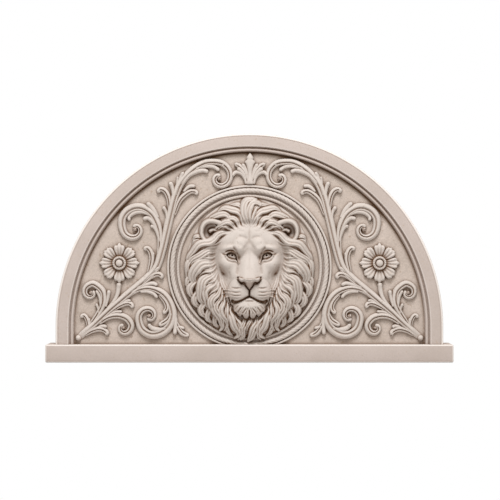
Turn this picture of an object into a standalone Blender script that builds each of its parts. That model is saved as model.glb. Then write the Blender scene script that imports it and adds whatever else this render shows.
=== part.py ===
# Cast stone tympanum panel: a stilted half-round lunette on a sill. Inside the moulded arch frame
# lie a medallion with a lion's head, mirrored acanthus scrolls, two rosettes and a palmette.
# The front faces -Y and Z is up. The origin is the centre of the sill's underside.
import math

import bmesh
import bpy
import numpy as np
from mathutils import Vector

# Overall sizes, in metres
ARCH_RADIUS = 0.582
STILT_HEIGHT = 0.051
PANEL_DEPTH = 0.088
SILL_OVERHANG = 0.030
SILL_HEIGHT = 0.054
SILL_ARRIS = 0.004
PANEL_SETBACK = 0.008
BED_JOINT = 0.0003

# Arch frame, from its outer edge inwards
FRAME_ARRIS = 0.0035
FRAME_WIDTH = 0.037
GROOVE_WIDTH = 0.005
GROOVE_DEPTH = 0.006
BEAD_WIDTH = 0.008
STEP_WIDTH = 0.005
STEP_DEPTH = 0.006
FIELD_DEPTH = 0.018
ARCH_STEPS = 40

# Medallion ring: an outer fillet, a rope and an inner fillet, standing on the field. Its size and
# the height of its centre above the sill are shares of the arch's radius.
MEDALLION_SIZE = 0.42
MEDALLION_RISE = 0.402
OUTER_FILLET = 0.0075
ROPE_WIDTH = 0.0165
INNER_FILLET = 0.0085
RING_GROOVE = 0.0025
FILLET_RELIEF = 0.009
ROPE_RELIEF = 0.014
RING_STEPS = 44

# The ornament is drawn on squares: this many make the arch's radius
SQUARES = 194
SCROLL_STOUTNESS = 1.3
SCROLL_RELIEF = 1.25
SCROLL_SINK = 0.0012
PATH_TOLERANCE = 0.7
ROOT_SINK = 0.012
FOOT_SPARE = 0.02

# The lion's head is drawn on squares of its own: this many make the medallion's inner radius
HEAD_SQUARES = 70

# Levels in Y, all from the sill's front and back
SILL_LENGTH = 2 * (ARCH_RADIUS + SILL_OVERHANG)
SILL_DEPTH = PANEL_DEPTH + PANEL_SETBACK
BACK_Y = SILL_DEPTH / 2
FACE_Y = -SILL_DEPTH / 2 + PANEL_SETBACK
FIELD_Y = FACE_Y + FIELD_DEPTH
PANEL_FOOT = SILL_HEIGHT + BED_JOINT
SPRINGING = SILL_HEIGHT + STILT_HEIGHT
MEDALLION_RADIUS = ARCH_RADIUS * MEDALLION_SIZE
MEDALLION_CENTRE = SILL_HEIGHT + ARCH_RADIUS * MEDALLION_RISE
MEDALLION_INSIDE = MEDALLION_RADIUS - OUTER_FILLET - ROPE_WIDTH - INNER_FILLET - 2 * RING_GROOVE
SQUARE = ARCH_RADIUS / SQUARES
HEAD_SQUARE = MEDALLION_INSIDE / HEAD_SQUARES

STONE = (0.60, 0.50, 0.43, 1.0)
STONE_ROUGHNESS = 0.85

# Scrolls and leaves of the right half, in squares from the centre line and above the sill.
# width is the half width at the root, the belly and the tip. A volute winds on from the last
# point about its eye, by that many turns, until it is as close as its end.
SCROLLS = {
    "main stem": {
        "points": ((172, 6), (157, 19), (141, 34), (121, 51), (103, 66), (93, 78), (87.5, 95),
                   (83.5, 112), (79, 131), (75, 147), (68.5, 162), (58, 174), (47, 181), (38, 182.8)),
        "width": (3.3, 2.8, 2.0),
        "volute": {"eye": (30.3, 166), "turns": 1.15, "end": 2.2},
    },
    "corner volute": {
        "points": ((164, 13), (153, 28), (147.5, 38), (146, 46), (148, 54), (155.6, 60.3)),
        "width": (2.0, 2.7, 1.8),
        "volute": {"eye": (159, 51.5), "turns": -0.95, "end": 2.2},
    },
    "corner volute leaf": {"points": ((148.5, 38), (149.5, 49), (153.7, 54.2)), "width": (1.0, 1.6, 1.5)},
    "corner bud": {"points": ((144.5, 39), (142, 48), (140.6, 54.9)), "width": (1.4, 1.5, 2.0)},
    "corner tendril": {"points": ((151, 30), (151.5, 36), (154, 41)), "width": (1.2, 1.4, 1.8)},
    "corner leaf": {"points": ((161, 16), (163, 24), (166, 29), (169.8, 26.5)), "width": (1.6, 2.0, 1.7)},
    "corner leaf lobe": {"points": ((160, 18), (161.5, 26.5)), "width": (1.4, 1.6, 1.4)},
    "foot leaf": {
        "points": ((165, 9), (159, 13), (152, 15.4), (146.5, 14.7), (143, 11.5), (143.7, 8.5)),
        "width": (1.6, 2.3, 2.0),
    },
    "foot leaf lobe": {"points": ((152, 16.5), (147, 18.4), (142.8, 17.2)), "width": (1.2, 1.5, 1.4)},
    "foot volute": {
        "points": ((152, 20), (145.5, 25), (138.8, 28.2), (130.8, 28.8), (123.4, 26), (118.7, 20)),
        "width": (1.8, 2.7, 1.8),
        "volute": {"eye": (126.4, 16.4), "turns": 0.85, "end": 2.0},
    },
    "foot volute leaf": {"points": ((141, 29.5), (135, 32.2), (127.6, 32.4)), "width": (1.0, 1.3, 1.2)},
    "lower leaf": {
        "points": ((138, 33), (131, 38.2), (124, 41.3), (118.8, 40.6), (116.8, 35.8)),
        "width": (1.4, 2.2, 1.8),
    },
    "lower leaf lobe": {"points": ((128, 41), (123, 43.5), (118.8, 43)), "width": (1.1, 1.4, 1.3)},
    "rosette stalk": {"points": ((142, 36), (135.5, 43), (131.2, 50), (130.2, 62)), "width": (1.4, 2.0, 2.3)},
    "great volute": {
        "points": ((122, 49), (112, 54.5), (103, 56.6), (95, 55.4), (87, 51), (81, 44), (77.6, 35.5),
                   (77, 27), (80.5, 18), (89, 11), (99, 9.6), (107.5, 14.5), (110.8, 22.5)),
        "width": (2.0, 3.4, 2.2),
        "volute": {"eye": (100.5, 28.2), "turns": 0.95, "end": 2.4},
    },
    "great volute crest": {"points": ((113, 57), (103, 60), (97, 61), (92, 59)), "width": (1.4, 1.8, 1.6)},
    "great volute hook": {"points": ((110, 52.8), (102, 53), (96, 50.7), (92, 46.4)), "width": (1.2, 1.7, 1.4)},
    "great volute side leaf": {"points": ((90, 50.5), (84.5, 43), (82.6, 36), (86.6, 30.4)), "width": (1.4, 2.0, 1.7)},
    "great volute low leaf": {"points": ((78.5, 31), (82, 24), (91.3, 18.2)), "width": (1.6, 2.3, 2.0)},
    "great volute inner leaf": {"points": ((84, 15.5), (92.5, 14.3), (99, 17), (101.5, 20.6)), "width": (1.6, 2.1, 1.5)},
    "spur": {"points": ((75.5, 33), (74, 22), (74.8, 8.8)), "width": (1.4, 1.9, 1.9)},
    "spur leaf": {"points": ((74, 22), (70.5, 14.5), (66, 9.8), (60.3, 8.2)), "width": (1.2, 2.2, 1.8)},
    "spur leaf lobe": {"points": ((71, 16.5), (65, 15.6)), "width": (1.0, 1.2, 1.1)},
    "middle leaf": {
        "points": ((106, 61.5), (98.6, 68.2), (92.6, 71), (88.3, 69.6), (87.6, 65.2)),
        "width": (1.5, 2.2, 1.8),
    },
    "middle leaf lobe": {"points": ((98, 71.5), (94.5, 75), (89.5, 77.6)), "width": (1.2, 1.7, 1.5)},
    "middle hook": {
        "points": ((100.5, 73), (98, 84), (99, 92), (102.5, 96.8), (106.3, 94.6)),
        "width": (1.8, 2.3, 1.8),
    },
    "middle hook lobe": {"points": ((97.2, 83), (96.3, 92.5)), "width": (1.2, 1.3, 1.1)},
    "upper volute": {
        "points": ((91, 88), (89.6, 102), (90.5, 115), (95, 126.5), (100.5, 133), (108, 137),
                   (115.6, 137), (123, 133), (127.5, 126), (127.8, 118)),
        "width": (1.8, 3.2, 2.2),
        "volute": {"eye": (114.8, 115.2), "turns": -0.9, "end": 2.4},
    },
    "upper volute leaf": {"points": ((99, 130), (108, 133), (117.5, 131), (121.4, 127), (120, 123.6)), "width": (1.2, 1.8, 1.6)},
    "upper volute crest": {"points": ((91.5, 126), (96, 134.5), (103.3, 142.6)), "width": (1.3, 1.9, 2.0)},
    "upper inner leaf": {"points": ((90.5, 110), (95.5, 121.5), (101, 127), (107.4, 125.6)), "width": (1.3, 2.0, 1.7)},
    "upper inner lobe": {"points": ((89.5, 103), (92.7, 113.5), (95.8, 118), (99.8, 118.6)), "width": (1.2, 1.7, 1.6)},
    "upper tendril": {"points": ((82.3, 122), (83.2, 133), (87, 138.4)), "width": (1.2, 1.4, 1.7)},
    "upper hook": {
        "points": ((80, 130), (80.4, 144.5), (83.7, 153), (89, 155.9), (92.6, 151.6)),
        "width": (1.5, 2.3, 1.8),
    },
    "top tendril": {"points": ((76, 144), (76.7, 156), (79.9, 163.2)), "width": (1.3, 1.7, 1.9)},
    "top leaf": {"points": ((74.4, 150), (71, 162), (65.9, 173.4)), "width": (1.4, 1.9, 1.8)},
    "top leaf lobe": {"points": ((72.6, 158), (71.6, 168.6)), "width": (1.1, 1.3, 1.1)},
    "inner hook": {
        "points": ((75.5, 131), (70.5, 143.5), (65, 150), (59, 153.7), (53.5, 153), (52.4, 149)),
        "width": (1.4, 2.2, 1.8),
    },
    "inner hook lobe": {"points": ((65, 154), (60.3, 158.2), (53.8, 158.8)), "width": (1.2, 1.6, 1.4)},
    "crown leaf": {"points": ((69, 161), (61, 169.4), (53, 173.6), (46, 175), (40.8, 172.7)), "width": (1.3, 2.0, 1.6)},
    "crown volute leaf": {"points": ((54, 176.4), (44, 178.6), (36, 178.3), (29.6, 174)), "width": (1.2, 1.8, 1.6)},
    "crown bud": {"points": ((27, 180), (23.2, 182.7)), "width": (1.4, 1.6, 1.6)},
    "palmette curl": {
        "points": ((2.4, 160), (6, 167), (10.5, 171), (15, 171), (17, 167.6)),
        "width": (1.6, 2.0, 2.1),
    },
    "palmette side leaf": {"points": ((1.6, 160), (5.5, 170), (10, 176), (15.2, 179.6)), "width": (1.8, 3.0, 1.5)},
    "palmette shoulder": {"points": ((1.2, 166), (4, 176), (7.2, 182.6)), "width": (1.6, 2.6, 1.4)},
}
PALMETTE_SPIRE = {"points": ((0, 159), (0, 170), (0, 180), (0, 186), (0, 190)), "width": (3.4, 3.8, 0.8)}

# Rosette, in squares
ROSETTE_CENTRE = (130.7, 82)
ROSETTE_RADIUS = 20
PETALS = 8
PETAL_RELIEF = 0.011
COLLAR_RADIUS = 6.4
BUTTON_RADIUS = 3.8

# The lion's head is one relief over the medallion: a height, in head squares, at every place.
# Its face is lofted down the centre line: at each height, how far out it stands and how wide it is.
FACE_LEVELS = (-56, -50, -42, -36, -30, -24, -17, -10, 0, 8, 15, 22, 30, 38, 44)
FACE_CREST = (4, 11, 15, 15.5, 15.5, 16.5, 17, 17, 17, 17.2, 18.2, 20, 20.4, 18, 13)
FACE_HALF = (5, 14, 19, 22, 25, 27, 29, 31, 34, 36, 36, 34, 30, 22, 10)
FACE_EDGE = (-12, 8, 18, 20, 22, 24, 26, 29, 32, 34, 34, 32, 27, 11, -12)
FACE_ROUND = 8.0
NOSE_LEVELS = (-24, -16, -11, -4, 4, 11, 18, 26)
NOSE_LIFT = (9.5, 9.8, 9.2, 7.4, 5.2, 3.6, 1.6, 0)
NOSE_HALF = (10.6, 10.4, 9.8, 8.8, 7.6, 6.7, 5.4, 4)
# Softer forms and hollows: across, up, half sizes, height
FACE_SWELLS = {
    "cheek bone": (24.5, 1.5, 8.5, 8.5, 4.2),
    "jowl": (20, -10, 6, 9, 1.8),
    "cheek hollow": (26.5, -14, 4, 9, -2.2),
    "temple": (29, 18, 5, 8, 1.0),
    "socket": (18.5, 10, 8, 5, -5.2),
    "inner corner": (12.6, 7.6, 3.2, 5.4, -4.6),
    "forehead": (9.5, 31.5, 7.5, 5.5, 1.4),
    "brow": (8.6, 20.5, 5.4, 7.2, 4.6),
    "brow end": (19, 19.4, 9, 3.4, 3.8),
}
# Firmer forms: across, up, out, then the three half sizes
FACE_DOMES = {
    "muzzle": (10.6, -25.8, 9.5, 12.4, 9.8, 14.2),
    "nose": (0, -14.6, 18.5, 10.4, 4.4, 9.4),
    "nostril wing": (8.2, -14.0, 16.5, 4.4, 3.4, 9.0),
    "nose tip": (0, -18.4, 18.0, 5.6, 4.6, 9.0),
    "eyeball": (17.6, 10.8, 8.6, 5.8, 4.6, 8.0),
}
CHIN_DOMES = {
    "chin": (0, -42, 8, 15.6, 10.8, 11.5),
    "lower lip": (0, -33.8, 9.5, 11.5, 3.6, 9.0),
}
CREASES = {
    "mouth": (((0, -30.2), (5.2, -32), (10.4, -34.4), (14.6, -35.8), (18.6, -34.2)), 1.5, 6.5),
    "lip parting": (((0, -22), (0, -26), (0, -30)), 1.1, 3.5),
    "nostril": (((8.6, -15.4), (6.4, -17), (4, -18.6)), 1.3, 6.0),
    "under the nose": (((13.4, -12.6), (11.6, -17.4), (7, -20.8), (1.5, -23.6)), 1.2, 3.0),
    "lid": (((26, 13), (22.6, 16.2), (18, 17.4), (14, 15.6), (11.4, 11)), 1.2, 2.4),
    "under the eye": (((24.4, 9.4), (21.4, 6.6), (17.8, 5.6), (14.4, 6.0), (11.4, 4.6)), 1.1, 1.8),
    "brow crease": (((17.4, 26), (14.4, 22.4), (13.6, 17)), 1.3, 2.4),
    "forehead line": (((0, 42), (0, 30), (0, 18)), 1.4, 1.6),
}
# Mane: a low dome that the locks lie on, then each lock of the right half: its line from the root to
# the tip, its half width, and how far out it stands at the root and the tip
MANE_SIZE = (60, 67)
MANE_MIDDLE = -3
MANE_HEIGHT = 13
LOCK_THICKNESS = 4.2
LOCKS = {
    "outer lock one": (((57, 4), (63, -4), (64, -17)), 3.2, 6, 3),
    "outer lock two": (((54, -8), (61, -20), (58, -36)), 3.6, 7, 3),
    "outer lock three": (((51, -22), (55, -35), (49, -47)), 3.6, 7, 3),
    "outer lock four": (((46, -34), (46.5, -45), (41, -55)), 3.6, 7, 3),
    "outer lock five": (((40, -42), (41, -51), (36, -59)), 3.4, 7, 3),
    "outer lock six": (((34, -48), (34.5, -57), (28, -64)), 3.4, 7, 3),
    "outer side lock": (((46, 21), (54, 19.5), (59.5, 14), (63.8, 7)), 3.6, 8, 3),
    "lock behind the ear": (((46, 29), (53, 26.5), (58.5, 21.5)), 3.2, 7, 3),
    "crown tip": (((5, 58), (12, 64.5), (19.5, 63)), 3.6, 9, 3),
    "upper lock": (((16, 49), (24, 53.2), (32, 54), (41, 49)), 3.8, 11, 4),
    "crown lock": (((4, 46), (7, 54), (14, 60), (22, 60.5), (31.5, 56)), 4.4, 14, 6),
    "brow lock": (((7.6, 39), (10, 47), (14.5, 52), (21, 52.5)), 3.6, 17, 8),
    "temple lock": (((12.5, 38), (15.5, 46), (20.5, 49), (27.5, 46)), 3.6, 17, 9),
    "ear lock": (((17, 36), (20.5, 42.5), (25, 44.6), (33, 39)), 3.6, 17, 10),
    "cheek lock": (((33, 16), (41, 15), (47, 12.5), (53.5, 6.5)), 3.8, 13, 7),
    "side lock": (((26, 28), (33, 24.5), (41, 21.5), (49, 15)), 3.8, 15, 8),
    "long lock": (((21, 34), (27, 36.5), (34, 32.5), (42, 26), (49, 22)), 4.2, 17, 10),
    "shoulder lock": (((33, 10), (44, 8), (54, 5), (58, -3), (56.5, -13), (52.5, -22)), 4.8, 13, 5),
    "second lock": (((33, 3), (42, -1), (50, -8), (53, -20), (49, -32), (42.5, -43)), 5.0, 13, 5),
    "third lock": (((31, -4), (39, -10), (46, -20), (46.5, -31), (41, -45)), 4.8, 13, 6),
    "fourth lock": (((29, -11), (36, -19), (41, -30), (39.5, -41), (31, -52)), 4.8, 14, 6),
    "fifth lock": (((26, -17), (32, -28), (34, -39), (28.5, -51), (24, -59), (29.5, -65)), 4.8, 14, 6),
    "neck lock": (((17, -46), (15, -60), (8, -72)), 4.0, 8, 5),
    "beard lock": (((8, -46), (8, -60), (2, -75)), 4.6, 8, 5),
    "sixth lock": (((22, -26), (25, -38), (21, -51), (13, -63), (10.5, -68.5), (15.5, -72.5)), 4.8, 15, 7),
}
FORELOCK = (((0.5, 38), (4.5, 48), (9, 57), (7, 65), (-1, 69)), 5.6, 17, 9)
EAR = {"across": 40.6, "up": 35.4, "wide": 8.4, "tall": 11.2, "rim": 13.5, "hollow": 6, "tilt": 0.35}
HEAD_GRID = (104, 116)
HEAD_REACH = (68, 78)
HEAD_FACES = 0.117
BURIED = -2.0


def clear_scene():
    for thing in list(bpy.data.objects):
        bpy.data.objects.remove(thing, do_unlink=True)


def stone(name):
    material = bpy.data.materials.new(name)
    material.use_nodes = True
    shader = material.node_tree.nodes["Principled BSDF"]
    shader.inputs["Base Color"].default_value = STONE
    shader.inputs["Roughness"].default_value = STONE_ROUGHNESS
    shader.inputs["Metallic"].default_value = 0.0
    return material


def object_from(bm, name, collection):
    """A new object from a bmesh, with its faces turned outwards."""
    bm.normal_update()
    bmesh.ops.recalc_face_normals(bm, faces=bm.faces)
    mesh = bpy.data.meshes.new(name)
    bm.to_mesh(mesh)
    bm.free()
    thing = bpy.data.objects.new(name, mesh)
    collection.objects.link(thing)
    return thing


def spun(bm, profile, centre_height, start, sweep, steps, closed):
    """Turns a profile of (radius, y) points about the axis that runs along Y through the centre."""
    direction = Vector((math.cos(start), 0, math.sin(start)))
    centre = Vector((0, 0, centre_height))
    corners = [bm.verts.new(centre + direction * radius + Vector((0, y, 0))) for radius, y in profile]
    edges = [bm.edges.new(pair) for pair in zip(corners, corners[1:])]
    if closed:
        edges.append(bm.edges.new((corners[-1], corners[0])))
    turned = bmesh.ops.spin(
        bm, geom=corners + edges, cent=centre, axis=(0, -1, 0), angle=sweep, steps=steps, use_merge=False
    )
    return edges, [piece for piece in turned["geom_last"] if isinstance(piece, bmesh.types.BMEdge)]


def arch_slab(collection):
    """The panel itself: its back, the moulded frame and the sunk field, as one closed slab."""
    inner = ARCH_RADIUS - FRAME_WIDTH
    bead = inner - GROOVE_WIDTH - BEAD_WIDTH / 2
    step = bead - BEAD_WIDTH / 2
    profile = (
        (ARCH_RADIUS, BACK_Y),
        (ARCH_RADIUS, FACE_Y + FRAME_ARRIS),
        (ARCH_RADIUS - FRAME_ARRIS, FACE_Y),
        (inner, FACE_Y),
        (inner - GROOVE_WIDTH / 2, FACE_Y + GROOVE_DEPTH),
        (bead, FACE_Y + GROOVE_DEPTH / 4),
        (step, FACE_Y + STEP_DEPTH),
        (step - STEP_WIDTH, FACE_Y + STEP_DEPTH),
        (step - STEP_WIDTH, FIELD_Y),
    )
    bm = bmesh.new()
    first, last = spun(bm, profile, SPRINGING, 0, math.pi, ARCH_STEPS, closed=False)
    for edges in (first, last):
        grown = bmesh.ops.extrude_edge_only(bm, edges=edges)
        feet = [piece for piece in grown["geom"] if isinstance(piece, bmesh.types.BMVert)]
        bmesh.ops.translate(bm, verts=feet, vec=(0, 0, -STILT_HEIGHT - FOOT_SPARE))
    bmesh.ops.remove_doubles(bm, verts=bm.verts, dist=1e-6)
    feet = sorted((v for v in bm.verts if v.co.z < SILL_HEIGHT), key=lambda v: v.co.x)
    for y in (BACK_Y, FIELD_Y):
        bm.edges.new([feet[n] for n in ends_at(feet, y)])
    bmesh.ops.holes_fill(bm, edges=bm.edges, sides=0)
    return object_from(bm, "panel", collection)


def ends_at(feet, y):
    """Where the two outermost feet at this depth stand in the list."""
    level = [n for n, foot in enumerate(feet) if abs(foot.co.y - y) < 1e-6]
    return level[0], level[-1]


def medallion_ring(collection):
    """The turned ring round the lion: fillet, rope bed and fillet. Its foot is sunk into the field."""
    rope = MEDALLION_RADIUS - OUTER_FILLET - RING_GROOVE - ROPE_WIDTH / 2
    fillet = rope - ROPE_WIDTH / 2 - RING_GROOVE
    profile = (
        (MEDALLION_RADIUS, FIELD_Y + ROOT_SINK),
        (MEDALLION_RADIUS, FIELD_Y - FILLET_RELIEF),
        (MEDALLION_RADIUS - OUTER_FILLET, FIELD_Y - FILLET_RELIEF),
        (rope + ROPE_WIDTH / 2, FIELD_Y - FILLET_RELIEF / 3),
        (rope + ROPE_WIDTH / 4, FIELD_Y - ROPE_RELIEF),
        (rope - ROPE_WIDTH / 4, FIELD_Y - ROPE_RELIEF),
        (rope - ROPE_WIDTH / 2, FIELD_Y - FILLET_RELIEF / 3),
        (fillet, FIELD_Y - FILLET_RELIEF),
        (MEDALLION_INSIDE, FIELD_Y - FILLET_RELIEF),
        (MEDALLION_INSIDE, FIELD_Y + ROOT_SINK),
    )
    bm = bmesh.new()
    spun(bm, profile, MEDALLION_CENTRE, math.pi / 2, 2 * math.pi, RING_STEPS, closed=True)
    bmesh.ops.remove_doubles(bm, verts=bm.verts, dist=1e-6)
    return object_from(bm, "medallion ring", collection)


def smooth_path(points, volute=None, per_span=8):
    """A smooth line through the points, then the volute's spiral about its eye."""
    guide = [Vector(p) for p in points]
    if volute:
        eye = Vector(volute["eye"])
        arm = guide[-1] - eye
        marks = max(3, round(abs(volute["turns"]) * 8))
        for n in range(1, marks + 1):
            share = n / marks
            radius = arm.length * (volute["end"] / arm.length) ** share
            angle = math.atan2(arm.y, arm.x) + share * volute["turns"] * 2 * math.pi
            guide.append(eye + radius * Vector((math.cos(angle), math.sin(angle))))
    ends = [2 * guide[0] - guide[1], *guide, 2 * guide[-1] - guide[-2]]
    path = []
    for a, b, c, d in zip(ends, ends[1:], ends[2:], ends[3:]):
        for n in range(per_span):
            t = n / per_span
            path.append(
                0.5 * (2 * b + (c - a) * t + (2 * a - 5 * b + 4 * c - d) * t**2 + (3 * b - a - 3 * c + d) * t**3)
            )
    return [*path, guide[-1]]


def thinned(path, tolerance):
    """The fewest points of the path that stay this close to it."""
    if len(path) < 3:
        return path
    along = path[-1] - path[0]
    if along.length < 1e-9:
        gaps = [(p - path[0]).length for p in path]
    else:
        gaps = [abs((p - path[0]).cross(along)) / along.length for p in path]
    worst = max(range(len(path)), key=gaps.__getitem__)
    if gaps[worst] < tolerance:
        return [path[0], path[-1]]
    return thinned(path[: worst + 1], tolerance)[:-1] + thinned(path[worst:], tolerance)


def half_widths(path, width):
    """The half width at each point: from the root to the belly, which lies past the middle, to the tip."""
    root, belly, tip = width
    steps = [0.0]
    for a, b in zip(path, path[1:]):
        steps.append(steps[-1] + (b - a).length)
    widths = []
    for step in steps:
        share = step / steps[-1]
        if share < 0.6:
            widths.append(root + (belly - root) * math.sin(share / 0.6 * math.pi / 2))
        else:
            widths.append(belly + (tip - belly) * ((share - 0.6) / 0.4) ** 1.5)
    return widths


def tube_mesh(name, spine, radii, collection, sides=4):
    """A tapering tube with closed, slightly pointed ends along a line of points in space."""
    curve = bpy.data.curves.new(name, "CURVE")
    curve.dimensions = "3D"
    curve.bevel_depth = 1.0
    curve.bevel_resolution = (sides - 4) // 2
    curve.use_fill_caps = True
    spline = curve.splines.new("POLY")
    spline.points.add(len(spine) - 1)
    for point, place, radius in zip(spline.points, spine, radii):
        point.co = (*place, 1)
        point.radius = radius
    wire = bpy.data.objects.new(name, curve)
    collection.objects.link(wire)
    bpy.context.view_layer.update()
    mesh = bpy.data.meshes.new_from_object(wire.evaluated_get(bpy.context.evaluated_depsgraph_get()))
    bpy.data.objects.remove(wire)
    bm = bmesh.new()
    bm.from_mesh(mesh)
    bpy.data.meshes.remove(mesh)
    bmesh.ops.remove_doubles(bm, verts=bm.verts, dist=1e-6)
    for face in bm.faces:
        face.smooth = False
    return object_from(bm, name, collection)


def carved_stroke(name, stroke, side, collection):
    """One scroll or leaf: a tube half sunk into the field, flattened to the scrollwork's relief."""
    path = thinned(smooth_path(stroke["points"], stroke.get("volute")), PATH_TOLERANCE)
    radii = [w * SQUARE * SCROLL_STOUTNESS for w in half_widths(path, stroke["width"])]
    beyond = path[-1] + (path[-1] - path[-2]).normalized() * stroke["width"][2]
    path.append(beyond)
    radii.append(radii[-1] * 0.4)
    spine = [(side * p.x * SQUARE, 0, SILL_HEIGHT + p.y * SQUARE) for p in path]
    thing = tube_mesh(name, spine, radii, collection)
    for vertex in thing.data.vertices:
        vertex.co.y = vertex.co.y * SCROLL_RELIEF + FIELD_Y + SCROLL_SINK
    return thing


def rosette(side, collection):
    """Eight petals, each a tube with a broad end, under a collar and a button."""
    across, up = ROSETTE_CENTRE
    centre = Vector((side * across * SQUARE, FIELD_Y, SILL_HEIGHT + up * SQUARE))
    pieces = []
    for n in range(PETALS):
        angle = 2 * math.pi * n / PETALS
        ray = Vector((math.sin(angle), 0, math.cos(angle)))
        spine = [centre + ray * ROSETTE_RADIUS * SQUARE * r for r in (0.1, 0.6, 0.78, 0.93, 1)]
        radii = [ROSETTE_RADIUS * SQUARE * r for r in (0.08, 0.28, 0.31, 0.23, 0.07)]
        petal = tube_mesh("petal", spine, radii, collection)
        for vertex in petal.data.vertices:
            vertex.co.y = FIELD_Y + SCROLL_SINK + (vertex.co.y - FIELD_Y) * PETAL_RELIEF / radii[2]
        pieces.append(petal)
    for name, radius, top in (("collar", COLLAR_RADIUS, 1.25), ("button", BUTTON_RADIUS, 1.6)):
        bm = bmesh.new()
        profile = (
            (0, FIELD_Y + ROOT_SINK),
            (radius * SQUARE, FIELD_Y + ROOT_SINK),
            (radius * SQUARE, FIELD_Y - PETAL_RELIEF * (top - 0.2)),
            (radius * SQUARE * 0.7, FIELD_Y - PETAL_RELIEF * top),
            (0, FIELD_Y - PETAL_RELIEF * top),
        )
        spun(bm, profile, 0, 0, 2 * math.pi, 9, closed=False)
        bmesh.ops.remove_doubles(bm, verts=bm.verts, dist=1e-6)
        disc = object_from(bm, name, collection)
        for vertex in disc.data.vertices:
            vertex.co += Vector((centre.x, 0, centre.z))
        pieces.append(disc)
    return pieces


def through(places, levels, values):
    """A smooth curve through the values at these levels, read at the given places."""
    levels, values = np.array(levels, float), np.array(values, float)
    slopes = np.gradient(values, levels)
    places = np.clip(places, levels[0], levels[-1])
    n = np.clip(np.searchsorted(levels, places) - 1, 0, len(levels) - 2)
    gap = levels[n + 1] - levels[n]
    t = (places - levels[n]) / gap
    rise = values[n] * (1 + 2 * t) * (1 - t) ** 2 + values[n + 1] * t * t * (3 - 2 * t)
    return rise + gap * (slopes[n] * t * (1 - t) ** 2 + slopes[n + 1] * t * t * (t - 1))


def ramp(start, end, places):
    t = np.clip((places - start) / (end - start), 0, 1)
    return t * t * (3 - 2 * t)


def melted(a, b, reach):
    """The higher of two reliefs, rounded where they cross."""
    share = np.clip(0.5 + 0.5 * (a - b) / reach, 0, 1)
    return b + (a - b) * share + reach * share * (1 - share)


def dome(x, z, form):
    across, up, out, wide, tall, deep = form
    q = ((x - across) / wide) ** 2 + ((z - up) / tall) ** 2
    return out + deep * np.sqrt(np.clip(1 - q, 0, None)) - 1.2 * deep * np.clip(np.sqrt(q) - 1, 0, None)


def beside(x, z, points, reach):
    """For every place: its distance from the line through the points, and the share along it."""
    line = smooth_path(points, per_span=5)
    steps = [(b - a).length for a, b in zip(line, line[1:])]
    distance, share = np.full(x.shape, 1e3), np.zeros(x.shape)
    sides = [[p[n] for p in line] for n in (0, 1)]
    near = (x > min(sides[0]) - reach) & (x < max(sides[0]) + reach)
    near &= (z > min(sides[1]) - reach) & (z < max(sides[1]) + reach)
    best, along = distance[near], share[near]
    for n, (start, step) in enumerate(zip(line, steps)):
        ray = (line[n + 1] - start) / step
        t = np.clip((x[near] - start.x) * ray.x + (z[near] - start.y) * ray.y, 0, step)
        gap = np.hypot(x[near] - start.x - ray.x * t, z[near] - start.y - ray.y * t)
        along = np.where(gap < best, (sum(steps[:n]) + t) / sum(steps), along)
        best = np.minimum(gap, best)
    distance[near], share[near] = best, along
    return distance, share


def face_relief(x, z):
    """The face: the loft, then its swells, the nose, the firm forms, the chin and the creases."""
    crest, half = (through(z, FACE_LEVELS, row) for row in (FACE_CREST, FACE_HALF))
    relief = crest - FACE_ROUND * (x / half) ** 2.6
    for across, up, wide, tall, height in FACE_SWELLS.values():
        relief += height * np.exp(-(((x - across) / wide) ** 2) - ((z - up) / tall) ** 2)
    lift, half = (through(z, NOSE_LEVELS, row) for row in (NOSE_LIFT, NOSE_HALF))
    relief += lift * (1 - ramp(half - 3, half + 3, x)) * ramp(-20, -12.5, z)
    for name, form in FACE_DOMES.items():
        relief = melted(relief, dome(x, z, form), 2.0 if name == "muzzle" else 0.8)
    mouth = CREASES["mouth"][0]
    parting = through(x, [p[0] for p in mouth], [p[1] for p in mouth])
    chin = melted(dome(x, z, CHIN_DOMES["chin"]), dome(x, z, CHIN_DOMES["lower lip"]), 1.0)
    chin = melted(chin, relief - 6, 1.5)
    relief += (chin - relief) * ramp(0, 1.5, parting - z)
    for points, width, depth in CREASES.values():
        distance, share = beside(x, z, points, 4 * width)
        relief -= depth * np.exp(-((distance / width) ** 2)) * np.sin(np.pi * np.clip(share, 0.1, 0.9)) ** 0.5
    return relief


def lock_relief(x, z, lock):
    points, width, root, tip = lock
    distance, share = beside(x, z, points, width)
    half = width * through(share, (0, 0.2, 0.55, 0.85, 1), (0.8, 1, 1, 0.6, 0.2))
    top = LOCK_THICKNESS * np.sqrt(np.clip(1 - (distance / half) ** 2, 0, None))
    return np.where(distance < half, root + (tip - root) * share + top, BURIED)


def ear_relief(x, z):
    """A cup with a thick rim, leaning outwards."""
    lean, turn = math.cos(EAR["tilt"]), math.sin(EAR["tilt"])
    u = ((x - EAR["across"]) * lean - (z - EAR["up"]) * turn) / EAR["wide"]
    v = ((x - EAR["across"]) * turn + (z - EAR["up"]) * lean) / EAR["tall"]
    q = np.hypot(u, v)
    rim = EAR["rim"] + 2 * np.sqrt(np.clip(1 - ((q - 0.85) / 0.17) ** 2, 0, None))
    cup = EAR["hollow"] + (EAR["rim"] - EAR["hollow"]) * (q / 0.7) ** 2
    return np.where(q < 1.02, np.where(q < 0.68, cup, rim), BURIED)


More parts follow.
